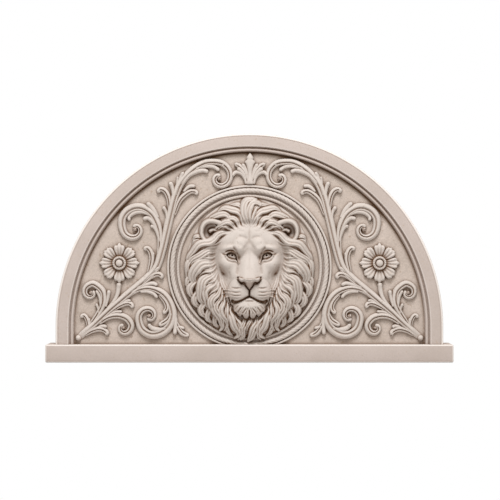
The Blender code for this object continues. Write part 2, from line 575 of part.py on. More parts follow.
def head_relief(x, z):
    """The whole head: the mane's dome and locks, the ears, and the face where it lies open."""
    wide, tall = MANE_SIZE
    q = (x / wide) ** 2 + ((z - MANE_MIDDLE) / tall) ** 2
    mane = MANE_HEIGHT * np.sqrt(np.clip(1 - q, 0, None)) + np.where(q < 1, 1.5, BURIED)
    ear = ear_relief(np.abs(x), z)
    mane = np.where(ear > BURIED, ear, mane)
    for lock in LOCKS.values():
        mane = np.maximum(mane, lock_relief(np.abs(x), z, lock))
    mane = np.maximum(mane, lock_relief(x, z, FORELOCK))
    inside = through(z, FACE_LEVELS, FACE_EDGE) - np.abs(x)
    open_face = face_relief(np.abs(x), z) - 30 * ramp(0, -1, inside)
    return np.where(inside > 2.5, open_face, np.maximum(open_face, mane))


def lion_head(collection):
    """A fine grid drawn out to the head's relief, closed inside the stone, then thinned."""
    bm = bmesh.new()
    bmesh.ops.create_grid(bm, x_segments=HEAD_GRID[0], y_segments=HEAD_GRID[1], size=1)
    rim = [edge for edge in bm.edges if edge.is_boundary]
    x, z = (np.array([v.co[n] for v in bm.verts]) * reach for n, reach in enumerate(HEAD_REACH))
    for vertex, across, up, out in zip(bm.verts, x, z, head_relief(x, z)):
        vertex.co = (
            across * HEAD_SQUARE,
            FIELD_Y - max(out, BURIED) * HEAD_SQUARE,
            MEDALLION_CENTRE + up * HEAD_SQUARE,
        )
    skirt = bmesh.ops.extrude_edge_only(bm, edges=rim)["geom"]
    for vertex in [piece for piece in skirt if isinstance(piece, bmesh.types.BMVert)]:
        vertex.co.y = FIELD_Y + ROOT_SINK
    bmesh.ops.holes_fill(bm, edges=bm.edges, sides=0)
    head = object_from(bm, "lion head", collection)
    thinning = head.modifiers.new("fewer faces", "DECIMATE")
    thinning.ratio = HEAD_FACES
    return head


def fused(panel, pieces):
    """Joins every carved piece to the panel."""
    carving = bpy.data.collections.new("carving")
    bpy.context.scene.collection.children.link(carving)
    for piece in pieces:
        for holder in list(piece.users_collection):
            holder.objects.unlink(piece)
        carving.objects.link(piece)
        piece.hide_render = True
        piece.display_type = "WIRE"
    join = panel.modifiers.new("carving", "BOOLEAN")
    join.operation = "UNION"
    join.operand_type = "COLLECTION"
    join.collection = carving
    join.solver = "EXACT"


def foot_cutter(collection):
    """A block below the panel's foot: the slab and the ring run on into it and are cut level."""
    bm = bmesh.new()
    bmesh.ops.create_cube(bm, size=1)
    bmesh.ops.scale(bm, verts=bm.verts, vec=(ARCH_RADIUS * 3, SILL_DEPTH * 4, PANEL_FOOT))
    cutter = object_from(bm, "foot cutter", collection)
    cutter.location.z = PANEL_FOOT / 2
    cutter.hide_render = True
    cutter.display_type = "WIRE"
    return cutter


def sill(collection):
    """The plain slab that the panel is bedded on, with eased edges."""
    bm = bmesh.new()
    bmesh.ops.create_cube(bm, size=1)
    bmesh.ops.scale(bm, verts=bm.verts, vec=(SILL_LENGTH, SILL_DEPTH, SILL_HEIGHT))
    bmesh.ops.translate(bm, verts=bm.verts, vec=(0, 0, SILL_HEIGHT / 2))
    slab = object_from(bm, "sill", collection)
    easing = slab.modifiers.new("eased edges", "BEVEL")
    easing.width = SILL_ARRIS
    easing.segments = 3
    return slab


def main():
    clear_scene()
    parts = bpy.data.collections.new("tympanum panel")
    cutters = bpy.data.collections.new("cutters")
    bpy.context.scene.collection.children.link(parts)
    bpy.context.scene.collection.children.link(cutters)

    panel = arch_slab(parts)
    pieces = [medallion_ring(parts), lion_head(parts)]
    for side in (1, -1):
        for name, stroke in SCROLLS.items():
            pieces.append(carved_stroke(name, stroke, side, parts))
        pieces += rosette(side, parts)
    pieces.append(carved_stroke("palmette spire", PALMETTE_SPIRE, 1, parts))
    fused(panel, pieces)
    trim = panel.modifiers.new("foot", "BOOLEAN")
    trim.operation = "DIFFERENCE"
    trim.object = foot_cutter(cutters)
    trim.solver = "EXACT"

    slab = sill(parts)
    for thing in (panel, slab):
        thing.data.materials.append(stone(thing.name + " stone"))


main()
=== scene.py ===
# Tympanum panel in cast limestone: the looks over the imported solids.
# Metres, Z up, the front faces -Y, and X = 0 is the panel's centre line.
import math

import bmesh
import bpy
import numpy as np
from mathutils import Matrix, Vector


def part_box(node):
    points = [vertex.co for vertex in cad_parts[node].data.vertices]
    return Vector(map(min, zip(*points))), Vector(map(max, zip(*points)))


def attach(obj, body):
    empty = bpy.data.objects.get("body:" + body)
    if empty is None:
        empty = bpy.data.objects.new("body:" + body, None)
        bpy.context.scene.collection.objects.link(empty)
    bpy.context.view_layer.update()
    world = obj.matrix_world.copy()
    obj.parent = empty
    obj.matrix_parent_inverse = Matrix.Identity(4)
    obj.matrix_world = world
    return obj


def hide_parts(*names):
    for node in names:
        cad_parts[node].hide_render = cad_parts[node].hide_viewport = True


print("loading the frame")
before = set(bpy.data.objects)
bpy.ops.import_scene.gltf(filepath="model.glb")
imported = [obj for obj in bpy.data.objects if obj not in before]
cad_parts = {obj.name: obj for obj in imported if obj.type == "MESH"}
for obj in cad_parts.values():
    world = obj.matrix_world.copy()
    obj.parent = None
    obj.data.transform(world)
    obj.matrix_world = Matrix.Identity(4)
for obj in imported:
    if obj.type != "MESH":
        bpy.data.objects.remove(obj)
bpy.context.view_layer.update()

# Where things lie, all from the sill and the arch
arch = {
    "radius": 0.582,
    "stilt": 0.051,
    "sillHeight": 0.054,
    "foot": 0.0543,      # the panel's underside, over a thin bed of mortar
    "backY": 0.048,
    "faceY": -0.040,
    "fieldY": -0.022,
    "steps": 150,
}
square = arch["radius"] / 194       # the ornament is drawn on squares of 3 mm
fieldY = arch["fieldY"]
headZ = arch["sillHeight"] + arch["radius"] * 0.402      # the middle of the lion's head
ring = {
    "centreZ": headZ - 0.003,
    "outer": 0.2478,
    "steps": 240,
}
headSquare = (arch["radius"] * 0.42 - 0.0375) / 70       # the head has its own squares inside the ring


# Small helpers

# sRGB hex to the linear colour that a node wants
def linearColour(code):
    parts = [int(code[n:n + 2], 16) / 255 for n in (0, 2, 4)]
    return [c / 12.92 if c <= 0.04045 else ((c + 0.055) / 1.055) ** 2.4 for c in parts] + [1.0]


def addNode(tree, kind, settings=None, inputs=None):
    node = tree.nodes.new(kind)
    for key, value in (settings or {}).items():
        setattr(node, key, value)
    for key, value in (inputs or {}).items():
        if isinstance(value, bpy.types.NodeSocket):
            tree.links.new(value, node.inputs[key])
        else:
            node.inputs[key].default_value = value
    return node


# A stone object with its place in its mesh, smooth but for edges sharper than the angle
def stoneObject(name, mesh, material, smoothUnder):
    piece = bpy.data.objects.new(name, mesh)
    bpy.context.scene.collection.objects.link(piece)
    mesh.materials.clear()
    mesh.materials.append(material)
    mesh.shade_smooth()
    mesh.set_sharp_from_angle(angle=math.radians(smoothUnder))
    print(name, len(mesh.polygons), "faces")
    return piece


# A piece that stands for the panel and rides on the one body
def finishPiece(name, mesh, material, smoothUnder=80):
    piece = stoneObject(name, mesh, material, smoothUnder)
    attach(piece, "root")
    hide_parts("panel")


def meshFrom(bm, name, outward=True):
    if outward:
        bm.normal_update()
        bmesh.ops.recalc_face_normals(bm, faces=bm.faces)
    mesh = bpy.data.meshes.new(name)
    bm.to_mesh(mesh)
    bm.free()
    return mesh


# A value from 0 to 1 at each point for the stone's colour: painted shade in creases ("hollow"), a painted
# highlight on arrises
def paint(mesh, name, values):
    layer = mesh.attributes.new(name, "FLOAT", "POINT")
    layer.data.foreach_set("value", np.clip(values, 0, 1).astype(np.float32))


def ramp(start, end, v):
    t = np.clip((v - start) / (end - start), 0, 1)
    return t * t * (3 - 2 * t)


# A soft bump, 1 in the middle and gone by about twice the reach
def fading(q):
    return np.exp(-q * q)


# A round crown, 1 in the middle and 0 at the edge
def rounded(q):
    return np.sqrt(np.clip(1 - q * q, 0, 1))


# A smooth curve through the values at these levels
def through(v, levels, values):
    levels, values = np.array(levels, float), np.array(values, float)
    slopes = np.gradient(values, levels)
    v = np.clip(v, levels[0], levels[-1])
    n = np.clip(np.searchsorted(levels, v) - 1, 0, len(levels) - 2)
    gap = levels[n + 1] - levels[n]
    t = (v - levels[n]) / gap
    rise = values[n] * (1 + 2 * t) * (1 - t) ** 2 + values[n + 1] * t * t * (3 - 2 * t)
    return rise + gap * (slopes[n] * t * (1 - t) ** 2 + slopes[n + 1] * t * t * (t - 1))


def smoothLine(points, perSpan):
    p = np.array(points, float)
    p = np.vstack([2 * p[0] - p[1], p, 2 * p[-1] - p[-2]])
    line = []
    for a, b, c, d in zip(p, p[1:], p[2:], p[3:]):
        for n in range(perSpan):
            t = n / perSpan
            line.append(0.5 * (2 * b + (c - a) * t + (2 * a - 5 * b + 4 * c - d) * t ** 2
                               + (3 * b - a - 3 * c + d) * t ** 3))
    return np.array(line + [p[-2]])


# Fine reconstituted limestone, struck from a mould: matt and sandy, with a few dark specks. Sizes in metres:
# clouds of paler and darker sand, grains drawn coarse enough to show, and how far painted shade reaches from
# a corner
# painted light for every finish: a pale painted highlight for arrises, and a dark brown painted shade for the
# deepest creases
everyStone = {"specular": 0.3, "grainHeight": 0.0008, "edgeHighlight": "F5F0EB", "deep": "2E2118", "mostDeepShade": 0.85}
stoneLooks = {
    "frame": {
        "light": "C2B6AF", "dark": "BBAFA7", "speck": "B8A99C", "paintedShade": "6E5440", "roughness": 0.9,
        "cloudSize": 0.11, "grainSize": 0.0035, "speckSize": 0.006, "sand": 0.035, "bump": 0.25,
        "shadeReach": 0.014, "shadeAmount": 0.5,
    },
    "field": {
        "light": "C5B8AE", "dark": "BAADA2", "speck": "AF9F91", "paintedShade": "66492F", "roughness": 0.92,
        "cloudSize": 0.07, "grainSize": 0.004, "speckSize": 0.012, "sand": 0.09, "bump": 0.35,
        "shadeReach": 0.013, "shadeAmount": 1.0,
    },
    "carving": {
        "light": "CEC5BE", "dark": "C6BDB5", "speck": "BFB3A9", "paintedShade": "75563D", "roughness": 0.85,
        "cloudSize": 0.09, "grainSize": 0.003, "speckSize": 0.008, "sand": 0.03, "bump": 0.15,
        "shadeReach": 0.009, "shadeAmount": 0.85,
    },
}


def castLimestone(name, finish):
    look = {**everyStone, **stoneLooks[finish]}
    material = bpy.data.materials.new(name)
    material.use_nodes = True
    tree = material.node_tree
    shader = tree.nodes["Principled BSDF"]
    shader.inputs["Roughness"].default_value = look["roughness"]
    shader.inputs["Specular IOR Level"].default_value = look["specular"]
    coords = addNode(tree, "ShaderNodeTexCoord").outputs["Object"]
    cloud, grain, specks = (
        addNode(tree, "ShaderNodeTexNoise", {},
                {"Vector": coords, "Scale": 1 / look[size], "Detail": detail}).outputs["Fac"]
        for size, detail in (("cloudSize", 3.0), ("grainSize", 2.0), ("speckSize", 1.0)))
    hollow, edgeHighlight = (addNode(tree, "ShaderNodeAttribute", {"attribute_name": painted}).outputs["Fac"]
                    for painted in ("hollow", "edgeHighlight"))
    # painted shade: corners and creases that ambient occlusion finds closed in, and the painted hollow value,
    # turn the colour brown as their shade would
    closed = addNode(tree, "ShaderNodeAmbientOcclusion", {"samples": 12}, {"Distance": look["shadeReach"]})
    ranges = (
        # value, its range, and the range it becomes
        (cloud, 0.32, 0.68, 0, 1),
        (grain, 0.3, 0.7, 1 - look["sand"], 1 + look["sand"]),
        (specks, 0.66, 0.74, 0, 1),
        # painted shade: ambient occlusion over the reach, then the deepest hollows darker still
        (closed.outputs["AO"], 0.86, 0.3, 0, look["shadeAmount"]),
        (hollow, 0.6, 1, 0, look["mostDeepShade"]),
    )
    patch, sand, speck, cornerShade, depth = (
        addNode(tree, "ShaderNodeMapRange", {},
                {"Value": value, "From Min": low, "From Max": high,
                 "To Min": least, "To Max": most}).outputs[0]
        for value, low, high, least, most in ranges)
    shaded = addNode(tree, "ShaderNodeMath", {"use_clamp": True}, {0: cornerShade, 1: hollow}).outputs[0]
    body = addNode(tree, "ShaderNodeMix", {"data_type": "RGBA"},
                   {0: patch, 6: linearColour(look["dark"]), 7: linearColour(look["light"])})
    colour = addNode(tree, "ShaderNodeMix", {"data_type": "RGBA", "blend_type": "MULTIPLY"},
                     {0: 1.0, 6: body.outputs[2], 7: sand}).outputs[2]
    # over the sandy body: the specks, the painted shade, the deeper painted shade, and the painted highlight
    # on arrises
    for amount, over in ((speck, "speck"), (shaded, "paintedShade"), (depth, "deep"), (edgeHighlight, "edgeHighlight")):
        colour = addNode(tree, "ShaderNodeMix", {"data_type": "RGBA"},
                         {0: amount, 6: colour, 7: linearColour(look[over])}).outputs[2]
    tree.links.new(colour, shader.inputs["Base Color"])
    bump = addNode(tree, "ShaderNodeBump", {},
                   {"Height": grain, "Strength": look["bump"], "Distance": look["grainHeight"]})
    tree.links.new(bump.outputs[0], shader.inputs["Normal"])
    return material


print("mixing the stone")
frameStone = castLimestone("cast limestone, plain faces", "frame")
fieldStone = castLimestone("cast limestone, sunk field", "field")
carvedStone = castLimestone("cast limestone, carving", "carving")


# The arch: its slab with the moulded frame, and the sunk field

archProfile = {
    # from the outer edge inwards: (metres in from the edge, metres back from the frame's face)
    "mouldings": (
        (0, 0.088), (0, 0.0042), (0.0007, 0.0022), (0.0016, 0.001), (0.0026, 0.0005), (0.0038, 0.0002),
        (0.0062, 0.0001), (0.0072, 0.0009), (0.008, 0.0011), (0.009, 0.0002), (0.0105, 0), (0.034, 0),
        (0.0356, 0), (0.0372, 0.0001), (0.0383, 0.0005), (0.0393, 0.0018), (0.0402, 0.0042),
        (0.0412, 0.0066), (0.0422, 0.0078), (0.0433, 0.0076), (0.0445, 0.0058), (0.0457, 0.004),
        (0.047, 0.003), (0.0484, 0.0026), (0.05, 0.0028), (0.0512, 0.0037), (0.0523, 0.0057),
        (0.0533, 0.0085), (0.0541, 0.0115), (0.0546, 0.018), (0.0575, 0.018), (0.0605, 0.018),
        (0.064, 0.018), (0.069, 0.018),
    ),
    # painted highlight along the arrises: (metres in, reach, how much)
    "edgeHighlight": ((0.0024, 0.0022, 0.8), (0.0369, 0.0011, 0.4), (0.0498, 0.0014, 0.1)),
    "highlightBehind": 0.006,     # only this near the frame's face
    # painted shade and shadow: how much at these metres in, at the crown, where the light from above leaves
    # most shadow; lower down the frame it is less
    "shadeAmount": ((0, 0.038, 0.04, 0.0425, 0.0455, 0.048, 0.051, 0.0535, 0.0546, 0.0575, 0.0605, 0.064, 0.069),
             (0, 0, 0.25, 0.62, 0.35, 0.0, 0.1, 0.6, 0.9, 0.85, 0.45, 0.15, 0)),
    "shadeAtSides": 0.1,
}


def makeArch():
    bm = bmesh.new()
    centre = (0, 0, arch["sillHeight"] + arch["stilt"])
    corners = [bm.verts.new((arch["radius"] - inward, arch["faceY"] + back, centre[2]))
               for inward, back in archProfile["mouldings"]]
    edges = [bm.edges.new(pair) for pair in zip(corners, corners[1:])]
    turned = bmesh.ops.spin(bm, geom=corners + edges, cent=centre, axis=(0, -1, 0), angle=math.pi,
                            steps=arch["steps"], use_merge=False)
    last = [e for e in turned["geom_last"] if isinstance(e, bmesh.types.BMEdge)]
    for side in (edges, last):
        grown = bmesh.ops.extrude_edge_only(bm, edges=side)["geom"]
        feet = [v for v in grown if isinstance(v, bmesh.types.BMVert)]
        bmesh.ops.translate(bm, verts=feet, vec=(0, 0, arch["foot"] - centre[2]))
    bmesh.ops.remove_doubles(bm, verts=bm.verts, dist=1e-6)
    low = [v for v in bm.verts if v.co.z < arch["foot"] + 1e-5]
    for y in (arch["backY"], fieldY):
        level = sorted((v for v in low if abs(v.co.y - y) < 1e-5), key=lambda v: v.co.x)
        bm.edges.new((level[len(level) // 2 - 1], level[len(level) // 2]))
    bmesh.ops.holes_fill(bm, edges=bm.edges, sides=0)
    mesh = meshFrom(bm, "archFrame")
    above = np.array([max(v.co.z - centre[2], 0) for v in mesh.vertices])
    inFront = np.array([v.co.y < 0 for v in mesh.vertices])
    inward = arch["radius"] - np.hypot([v.co.x for v in mesh.vertices], above)
    # painted highlight: paler along the arrises of the frame's face
    arrisHighlight = sum(much * np.exp(-((inward - at) / reach) ** 4) for at, reach, much in archProfile["edgeHighlight"])
    arrisHighlight[[v.index for v in mesh.vertices if v.co.y > arch["faceY"] + archProfile["highlightBehind"]]] = 0
    paint(mesh, "edgeHighlight", arrisHighlight)
    # painted shadow: the crown's mouldings face down, out of the light from above, and get more painted shade
    # than the upright ones
    crown = (above / arch["radius"] + archProfile["shadeAtSides"]) * inFront
    paint(mesh, "hollow", np.interp(inward, *archProfile["shadeAmount"]) * np.minimum(crown, 1))
    finishPiece("archFrame", mesh, frameStone, 30)
    mesh.materials.append(fieldStone)
    for face in mesh.polygons:
        if face.normal.y < -0.99 and abs(face.center.y - fieldY) < 1e-4:
            face.material_index = 1


# The medallion's ring: two fillets with a rope between them

ringProfile = (
    # (metres in from the outside, metres out from the field)
    (0, -0.004), (0, 0.0062), (0.0008, 0.0082), (0.0024, 0.0092), (0.0046, 0.0092), (0.0062, 0.0082),
    (0.007, 0.0062), (0.0076, 0.0035), (0.01, 0.003), (0.024, 0.003), (0.0274, 0.0032), (0.0285, 0.004),
    (0.0372, 0.004), (0.038, 0.0026), (0.0385, -0.004),
)


def cutAtFoot(bm):
    cut = bmesh.ops.bisect_plane(bm, geom=bm.verts[:] + bm.edges[:] + bm.faces[:], dist=1e-6,
                                 plane_co=(0, 0, arch["foot"]), plane_no=(0, 0, -1), clear_outer=True)
    rims = [e for e in cut["geom_cut"] if isinstance(e, bmesh.types.BMEdge)]
    bmesh.ops.holes_fill(bm, edges=rims, sides=0)


def makeRing():
    bm = bmesh.new()
    corners = [bm.verts.new((ring["outer"] - inward, fieldY - out, ring["centreZ"]))
               for inward, out in ringProfile]
    edges = [bm.edges.new(pair) for pair in zip(corners, corners[1:] + corners[:1])]
    bmesh.ops.spin(bm, geom=corners + edges, cent=(0, 0, ring["centreZ"]), axis=(0, -1, 0),
                   angle=2 * math.pi, steps=ring["steps"], use_merge=True)
    cutAtFoot(bm)
    finishPiece("medallionRing", meshFrom(bm, "medallionRing"), carvedStone, 35)


ropes = {
    # metres: inward from the ring's outside, half width, its middle over the field, and height over that.
    # groove: the share that the gaps between strands cut in; around and across: the mesh
    "rope": {"inward": 0.016, "width": 0.0074, "middle": 0.0062, "height": 0.0082,
             "strands": 110, "twist": 2.2, "groove": 0.18, "around": 900, "across": 14},
    "innerCord": {"inward": 0.0328, "width": 0.005, "middle": 0.004, "height": 0.0052,
                  "strands": 168, "twist": 1.2, "groove": 0.07, "around": 1344, "across": 8},
}
# painted shade on the rope: darker low down near the field and in the gaps between strands
ropeShape = {"wrap": 1.9, "strand": 0.7, "shadeLow": 0.5, "shadeGaps": 0.3, "shadeFrom": (0.002, 0.010)}


def makeRope(name):
    look = ropes[name]
    bm = bmesh.new()
    layer = bm.verts.layers.float.new("hollow")
    bmesh.ops.create_grid(bm, x_segments=look["around"], y_segments=look["across"], size=1)
    u, v = (np.array([p.co[n] for p in bm.verts]) for n in (0, 1))
    turn, angle = u * math.pi, v * ropeShape["wrap"]
    strand = np.abs(np.sin((turn * look["strands"] + v * math.pi * look["twist"]) / 2)) ** ropeShape["strand"]
    swell = 1 - look["groove"] * (1 - strand)
    radius = ring["outer"] - look["inward"] + look["width"] * swell * np.sin(angle)
    out = look["middle"] + look["height"] * swell * np.cos(angle)
    low = ropeShape["shadeLow"] * (1 - ramp(*ropeShape["shadeFrom"], out))
    low = low + ropeShape["shadeGaps"] * (1 - strand) ** 2
    for p, r, t, o, dark in zip(bm.verts, radius, turn, out, low):
        p.co = (r * math.sin(t), fieldY - o, ring["centreZ"] + r * math.cos(t))
        p[layer] = dark
    bmesh.ops.remove_doubles(bm, verts=[p for p in bm.verts if p.is_boundary], dist=1e-6)
    cutAtFoot(bm)
    finishPiece(name, meshFrom(bm, name), carvedStone)


# Scrolls and leaves: each is a fluted strip drawn along its line

strokes = {
    # right half, in squares from the centre line and above the sill:
    # (line, half width at the root, belly and tip, ridges side by side)
    "mainStem": (((172, 6), (157, 19), (141, 34), (121, 51), (103, 66), (93, 78), (87.5, 95), (83.5, 112),
        (79, 131), (75, 147), (68.5, 162), (58, 174), (47, 181), (38, 182.8)), (3.6, 4.2, 2.6), 2),
    "cornerVolute": (((164, 13), (153, 28), (147.5, 38), (146, 46), (148, 54), (155.6, 60.3)),
        (2.4, 3.6, 2.1), 2),
    "cornerVoluteLeaf": (((149, 36), (149.8, 47), (153.7, 54.2)), (1.4, 2, 1.8), 1),
    "cornerBud": (((144.5, 37), (142, 47), (140.6, 54.4)), (1.6, 2, 2.3), 1),
    "cornerTendril": (((151, 30), (151.5, 36), (154, 41)), (1.2, 1.6, 1.8), 1),
    "cornerLeaf": (((161, 15), (162.5, 24), (166, 29), (169.6, 26.8)), (2, 2.4, 2), 2),
    "cornerLeafLobe": (((159.5, 17), (161.3, 26.3)), (1.6, 1.9, 1.6), 1),
    "footLeaf": (((165, 9), (159, 13), (152, 15.2), (146.5, 14.4), (143, 11.5), (143.7, 8.7)),
        (2, 3, 2.3), 2),
    "footLeafLobe": (((154, 15.5), (148, 18.2), (142.8, 17.2)), (1.4, 2, 1.7), 1),
    "footVolute": (((152, 20), (145.5, 25), (138.8, 28), (130.8, 28.6), (123.4, 26), (118.7, 20)),
        (2.4, 3.6, 2.1), 2),
    "footVoluteLeaf": (((142, 28.8), (135, 32.4), (127.6, 32.6)), (1.2, 1.7, 1.6), 1),
    "lowerLeaf": (((139, 32.4), (131, 38), (124, 41), (118.8, 40.2), (116.8, 36)), (1.8, 2.8, 2.2), 2),
    "lowerLeafLobe": (((129, 40.5), (123, 43.8), (118.8, 43.4)), (1.2, 1.7, 1.6), 1),
    "rosetteStalk": (((143, 35), (136.5, 42), (132.4, 50), (130.6, 62)), (1.8, 2.3, 2.6), 1),
    "greatVolute": (((122, 49), (112, 54.5), (103, 56.4), (95, 55.2), (87, 51), (81, 44), (77.6, 35.5),
        (77, 27), (80.5, 18), (89, 11), (99, 9.6), (107.5, 14.5), (110.8, 22.5)), (2.4, 4.6, 2.1), 2),
    "greatVoluteCrest": (((114, 56.5), (103, 60), (97, 61), (92, 59)), (1.6, 2.3, 2), 1),
    "greatVoluteHook": (((110, 52.8), (102, 53), (96, 50.7), (92, 46.4)), (1.6, 2.2, 1.8), 1),
    "greatVoluteSideLeaf": (((91, 50), (84.5, 43), (82.6, 36), (86.6, 30.4)), (1.8, 2.8, 2.1), 2),
    "greatVoluteLowLeaf": (((78.5, 32), (82, 24), (91, 18.6)), (2, 3.2, 2.4), 2),
    "greatVoluteInnerLeaf": (((83, 16), (92.5, 14.6), (98.5, 16.6), (101.5, 20.6)), (2, 2.7, 1.9), 1),
    "spur": (((75.5, 34), (74, 22), (74.8, 9.4)), (1.6, 2.4, 2.4), 1),
    "spurLeaf": (((74.5, 24), (70.5, 15), (66, 10.2), (60.3, 8.6)), (1.6, 3, 2.2), 2),
    "spurLeafLobe": (((72.5, 18), (65, 15.8)), (1.2, 1.7, 1.5), 1),
    "middleLeaf": (((107, 60.8), (98.6, 68), (92.6, 70.4), (88.6, 69), (87.8, 65.4)), (1.8, 3, 2.3), 2),
    "middleLeafLobe": (((99, 70.5), (94.5, 74.6), (89.7, 77.2)), (1.4, 2.2, 1.9), 1),
    "middleHook": (((101, 71), (98, 84), (99, 92), (102.5, 96.4), (106, 94.4)), (2.2, 3, 2.3), 2),
    "middleHookLobe": (((97.4, 82), (96.2, 92.3)), (1.2, 1.7, 1.5), 1),
    "upperVolute": (((91, 86), (89.6, 102), (90.5, 115), (95, 126.5), (100.5, 133), (108, 137),
        (115.6, 137), (123, 133), (127.5, 126), (127.8, 118)), (2.4, 4.4, 2.1), 2),
    "upperVoluteLeaf": (((99, 129), (108, 132.6), (116, 131.4), (120.8, 127), (119.6, 123.8)),
        (1.4, 2.2, 1.8), 1),
    "upperVoluteCrest": (((91.5, 126), (96, 134.5), (103, 142.2)), (1.6, 2.5, 2.4), 1),
    "upperInnerLeaf": (((90.5, 109), (95.5, 121), (101, 126.4), (107, 125.4)), (1.6, 2.6, 2.1), 1),
    "upperInnerLobe": (((89.5, 102), (92.7, 113), (95.8, 117.6), (99.6, 118.4)), (1.4, 2.2, 1.9), 1),
    "upperTendril": (((82.3, 120), (83.2, 132), (87, 138.2)), (1.4, 1.8, 2.2), 1),
    "upperHook": (((80, 128), (80.4, 143.5), (83.7, 152.4), (88.8, 155.4), (92.4, 152)),
        (1.8, 2.9, 2.3), 2),
    "topTendril": (((76, 142), (76.7, 155), (79.9, 163)), (1.6, 2.2, 2.4), 1),
    "topLeaf": (((74.4, 148), (71, 161), (66, 173)), (1.6, 2.5, 2.1), 1),
    "topLeafLobe": (((72.8, 156), (71.6, 168.4)), (1.2, 1.7, 1.5), 1),
    "innerHook": (((75.8, 129), (70.5, 143), (65, 149.4), (59, 153.2), (53.8, 152.6), (52.6, 149.4)),
        (1.8, 2.9, 2.2), 2),
    "innerHookLobe": (((66.5, 152.5), (60.3, 158), (54, 158.6)), (1.4, 2.1, 1.8), 1),
    "crownLeaf": (((69.5, 160), (61, 169), (53, 173.2), (46, 174.4), (41.2, 172.4)), (1.5, 2.6, 2.1), 1),
    "crownVoluteLeaf": (((55, 176), (44, 178.4), (36, 178), (29.9, 174)), (1.4, 2.2, 1.9), 1),
    "crownBud": (((27.6, 179), (23.4, 182.4)), (1.6, 1.9, 1.8), 1),
}
volutes = {
    # wound on at the end of a stroke: (eye, turns, the radius it ends at)
    "mainStem": ((30.3, 166), 1.15, 2.6),
    "cornerVolute": ((159, 51.5), -0.95, 2.4),
    "footVolute": ((126.4, 16.4), 0.85, 2.2),
    "greatVolute": ((100.5, 28.2), 0.95, 2.8),
    "upperVolute": ((114.8, 115.2), -0.9, 2.8),
}
strokeShape = {
    "height": 4.5,       # squares out from the field at a wide belly
    "least": 0.58,       # share of that where the stroke is slimmest
    "wide": 3.6,         # the half width that has the whole height
    "arch": 2.7,         # how flat its crown is
    "sink": 0.8, "alongStep": 0.8, "across": 22,
    # where the grooves lie between flutes, from the inner side of the bend (-1) to the outer (1)
    "grooves": {1: (), 2: (-0.22,)},
    "grooveWidth": 0.18, "grooveDepth": 0.42,
    "knob": 0.7,         # how much a leaf's curled tip swells
    # painted shade: darker at the stroke's foot near the field and along its grooves
    "shadeFoot": 0.66, "shadeTo": (0.2, 2.0), "shadeGrooves": 0.42,
    "widest": 0.6,       # how far along its belly is
}


# 1 along the bottom of each groove, fading to 0 on the ridges
def fluteGrooves(place, grooves):
    cut = np.zeros_like(place)
    for middle in grooves:
        cut = np.maximum(cut, fading((place - middle) / strokeShape["grooveWidth"]))
    return cut


# The stroke's line, evenly stepped, with its volute wound on
def strokeLine(points, volute):
    points = list(points)
    if volute:
        eye, turns, end = volute
        armX, armZ = points[-1][0] - eye[0], points[-1][1] - eye[1]
        start, reach = math.atan2(armZ, armX), math.hypot(armX, armZ)
        marks = max(4, round(abs(turns) * 10))
        for n in range(1, marks + 1):
            radius = reach * (end / reach) ** (n / marks)
            angle = start + turns * 2 * math.pi * n / marks
            points.append((eye[0] + radius * math.cos(angle), eye[1] + radius * math.sin(angle)))
    line = smoothLine(points, 10)
    length = np.concatenate([[0], np.cumsum(np.hypot(*np.diff(line, axis=0).T))])
    even = np.linspace(0, length[-1], max(10, int(length[-1] / strokeShape["alongStep"])))
    return np.stack([np.interp(even, length, line[:, n]) for n in (0, 1)], axis=1), even


def addStroke(bm, stroke, side, hollows, volute=None, outline=None):
    points, (root, belly, tip), ridges = stroke
    line, length = strokeLine(points, volute)
    steps, across = len(line), strokeShape["across"]
    share = length / length[-1]
    if outline:
        half = through(share, *outline)
    else:
        half = through(share, (0, strokeShape["widest"], 1), (root, belly, tip))
        nose = np.clip((length[-1] - length) / tip, 0, 1)
        heel = np.clip(length / root, 0, 1)
        half = half * np.sqrt(1 - (1 - nose) ** 2 + 1e-4) * np.sqrt(1 - (1 - heel) ** 2 * 0.6 + 1e-4)
    direction = np.gradient(line, axis=0)
    direction /= np.hypot(*direction.T)[:, None]
    grid = bmesh.ops.create_grid(bm, x_segments=steps - 1, y_segments=across, size=1)["verts"]
    cols = np.array([round((v.co.x + 1) / 2 * (steps - 1)) for v in grid])
    place = np.sin(np.array([v.co.y for v in grid]) * math.pi / 2)     # closer rows towards the edges
    width = half[cols]
    full = np.minimum(1, width / strokeShape["wide"])
    high = strokeShape["height"] * (strokeShape["least"] + (1 - strokeShape["least"]) * full)
    high = high * ramp(-0.02, 0.05, share[cols])
    left = length[-1] - length[cols]
    if not volute and not outline:
        high = high + strokeShape["knob"] * fading((left - tip) / (0.9 * tip))
    bend = np.sign(np.sum(direction[:-1, 0] * direction[1:, 1] - direction[:-1, 1] * direction[1:, 0]))
    cut = fluteGrooves(place * bend, strokeShape["grooves"][ridges])
    cut = cut * ramp(0, 0.1, share[cols]) * ramp(1.5, 5, left)
    arched = np.sqrt(np.clip(1 - np.abs(place) ** strokeShape["arch"], 0, 1))
    out = high * arched * (1 - strokeShape["grooveDepth"] * cut)
    out = np.where(np.abs(place) > 0.999, -strokeShape["sink"], out)
    x = line[cols, 0] + direction[cols, 1] * place * width
    z = line[cols, 1] - direction[cols, 0] * place * width
    for v, px, pz, po in zip(grid, x, z, out):
        v.co = (side * px * square, fieldY - po * square, arch["sillHeight"] + pz * square)
    # painted shade at the foot and in the grooves
    hollows.append(strokeShape["shadeFoot"] * (1 - ramp(*strokeShape["shadeTo"], out))
                   + strokeShape["shadeGrooves"] * cut)


